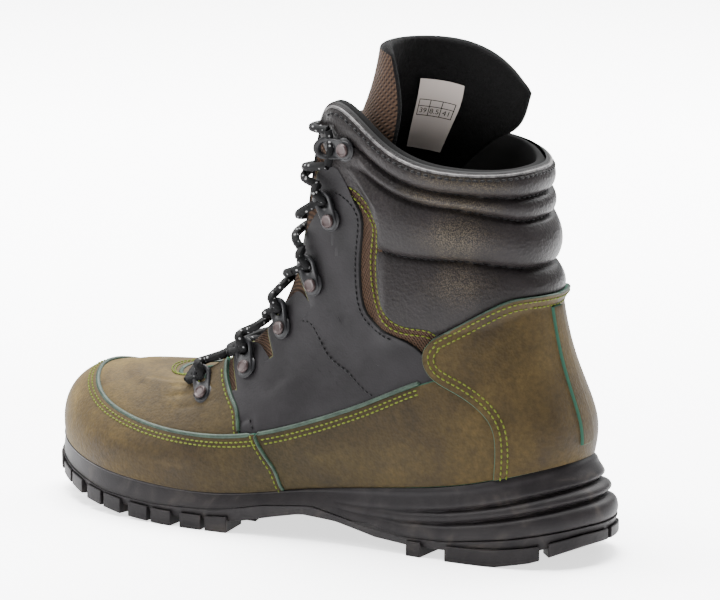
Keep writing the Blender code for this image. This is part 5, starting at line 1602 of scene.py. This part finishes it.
def lace_run(start, end, side, bow):
    """The path of a run over both edges of the throat."""
    near = throat_edge(side, start.z + (end.z - start.z) * LACE_EDGE_SHARE)
    far = throat_edge(-side, end.z - (end.z - start.z) * LACE_EDGE_SHARE)
    middle = [near.lerp(far, t) + bow * (4 * t * (1 - t)) for t in (0.25, 0.5, 0.75)]
    return [start, near, *middle, far, end]


def braid(name, path, nodes):
    """A braided cord along a path, its strands raised in a twisted check."""
    knots = np.array([tuple(spot) for spot in path])
    length = walk(knots)[-1]
    count, sides = max(12, int(length / 0.0007)), 16
    line = open_curve(knots, np.linspace(0, 1, count))
    heading = unit(np.gradient(line, axis=0))
    side = unit(np.cross(heading, [1.0, 0.0, 1.0]))
    up = np.cross(side, heading)
    walked = walk(line)
    turn = 2 * math.pi * np.arange(sides + 1) / sides
    twist = 2 * math.pi * walked[:, None] / BRAID_PITCH
    strands = np.cos(2 * turn + twist) * np.cos(2 * turn - twist)
    radius = LACE_RADIUS * (0.97 + 0.07 * strands)
    grid = (line[:, None] + side[:, None] * (np.cos(turn) * radius)[..., None]
            + up[:, None] * (np.sin(turn) * radius)[..., None])
    ends = [np.broadcast_to(line[k], grid[0].shape) for k in (0, -1)]
    grid = np.concatenate([ends[0][None], grid, ends[1][None]])
    lengths = pairs(turn[None, :] * LACE_RADIUS, np.concatenate([[0], walked, [length]])[:, None])
    piece = add_piece(name, grid, grid_faces(*grid.shape[:2]), [LACE_CORD], None, lengths, crease=80)
    outward_faces(piece)
    if nodes:
        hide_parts(*nodes)
    return piece


def lace_material():
    """Black braid with a fleck of pale yarn at every turn."""
    material, shader, tree, place = textured("lace_cord", (0.014, 0.014, 0.015), 0.75)
    cells = node(tree, "ShaderNodeTexVoronoi", {"Vector": place, "Scale": 330.0}).outputs["Distance"]
    fleck = ramp(tree, cells, (0.0, 0.16), (0.17, 0.13), (0.23, (0.0022, 0.0022, 0.0024)))
    dress(tree, shader, fleck, noise(tree, place, 1500.0, 2.0), 0.4, 0.0003)
    return material


LACE_CORD = lace_material()


def build_laces():
    """The crossings, the bar at the bottom and at the top, and the turns through the loops."""
    count = len(LACE_SPOTS)
    for low in range(1, count):
        high = low + 1
        starts = [lace_spot(side, low, 1) for side in (1, -1)]
        ends = [lace_spot(side, high, -1) for side in (-1, 1)]
        step = (ends[0] + ends[1] - starts[0] - starts[1]).normalized()
        outward = Vector((abs(step.z), 0, abs(step.x))).normalized()
        bow = LACE_SPOTS[low - 1].bow
        braid(f"lace_over_{low}", lace_run(starts[0], ends[0], 1, outward * (bow + LACE_RADIUS)),
              [f"lace_crossing_{low}"])
        braid(f"lace_under_{low}", lace_run(starts[1], ends[1], -1, outward * bow), [f"lace_crossing_{low}"])
    bar = [lace_spot(side, 1, -1) for side in (1, -1)]
    middle = [bar[0].lerp(bar[1], t) + Vector((0, 0, LACE_BAR_RISE)) for t in (0.2, 0.5, 0.8)]
    braid("lace_bottom", [bar[0], *middle, bar[1]], ["lace_bar_bottom"])
    tops = [lace_spot(side, count, 1) for side in (1, -1)]
    braid("lace_top", lace_run(*tops, 1, Vector((LACE_SPOTS[-1].bow, 0, 0))), ["lace_bar_top"])
    for (side, number), at in HARDWARE.items():
        arrive, leave = lace_spot(side, number, -1), lace_spot(side, number, 1)
        name = "outer" if side > 0 else "inner"
        if number == count:
            turn = [arrive, at @ Vector((EYE_REACH - 0.001, 0, 0.0014)), leave]
        else:
            turn = [arrive, at @ Vector((EYE_REACH + 0.0004, side * 0.0036, 0.0012)),
                    at @ Vector((EYE_REACH + 0.0008, 0, 0.0016)),
                    at @ Vector((EYE_REACH + 0.0042, 0, 0.0058)), leave]
        braid(f"lace_turn_{name}_{number}", turn, [])


build_laces()
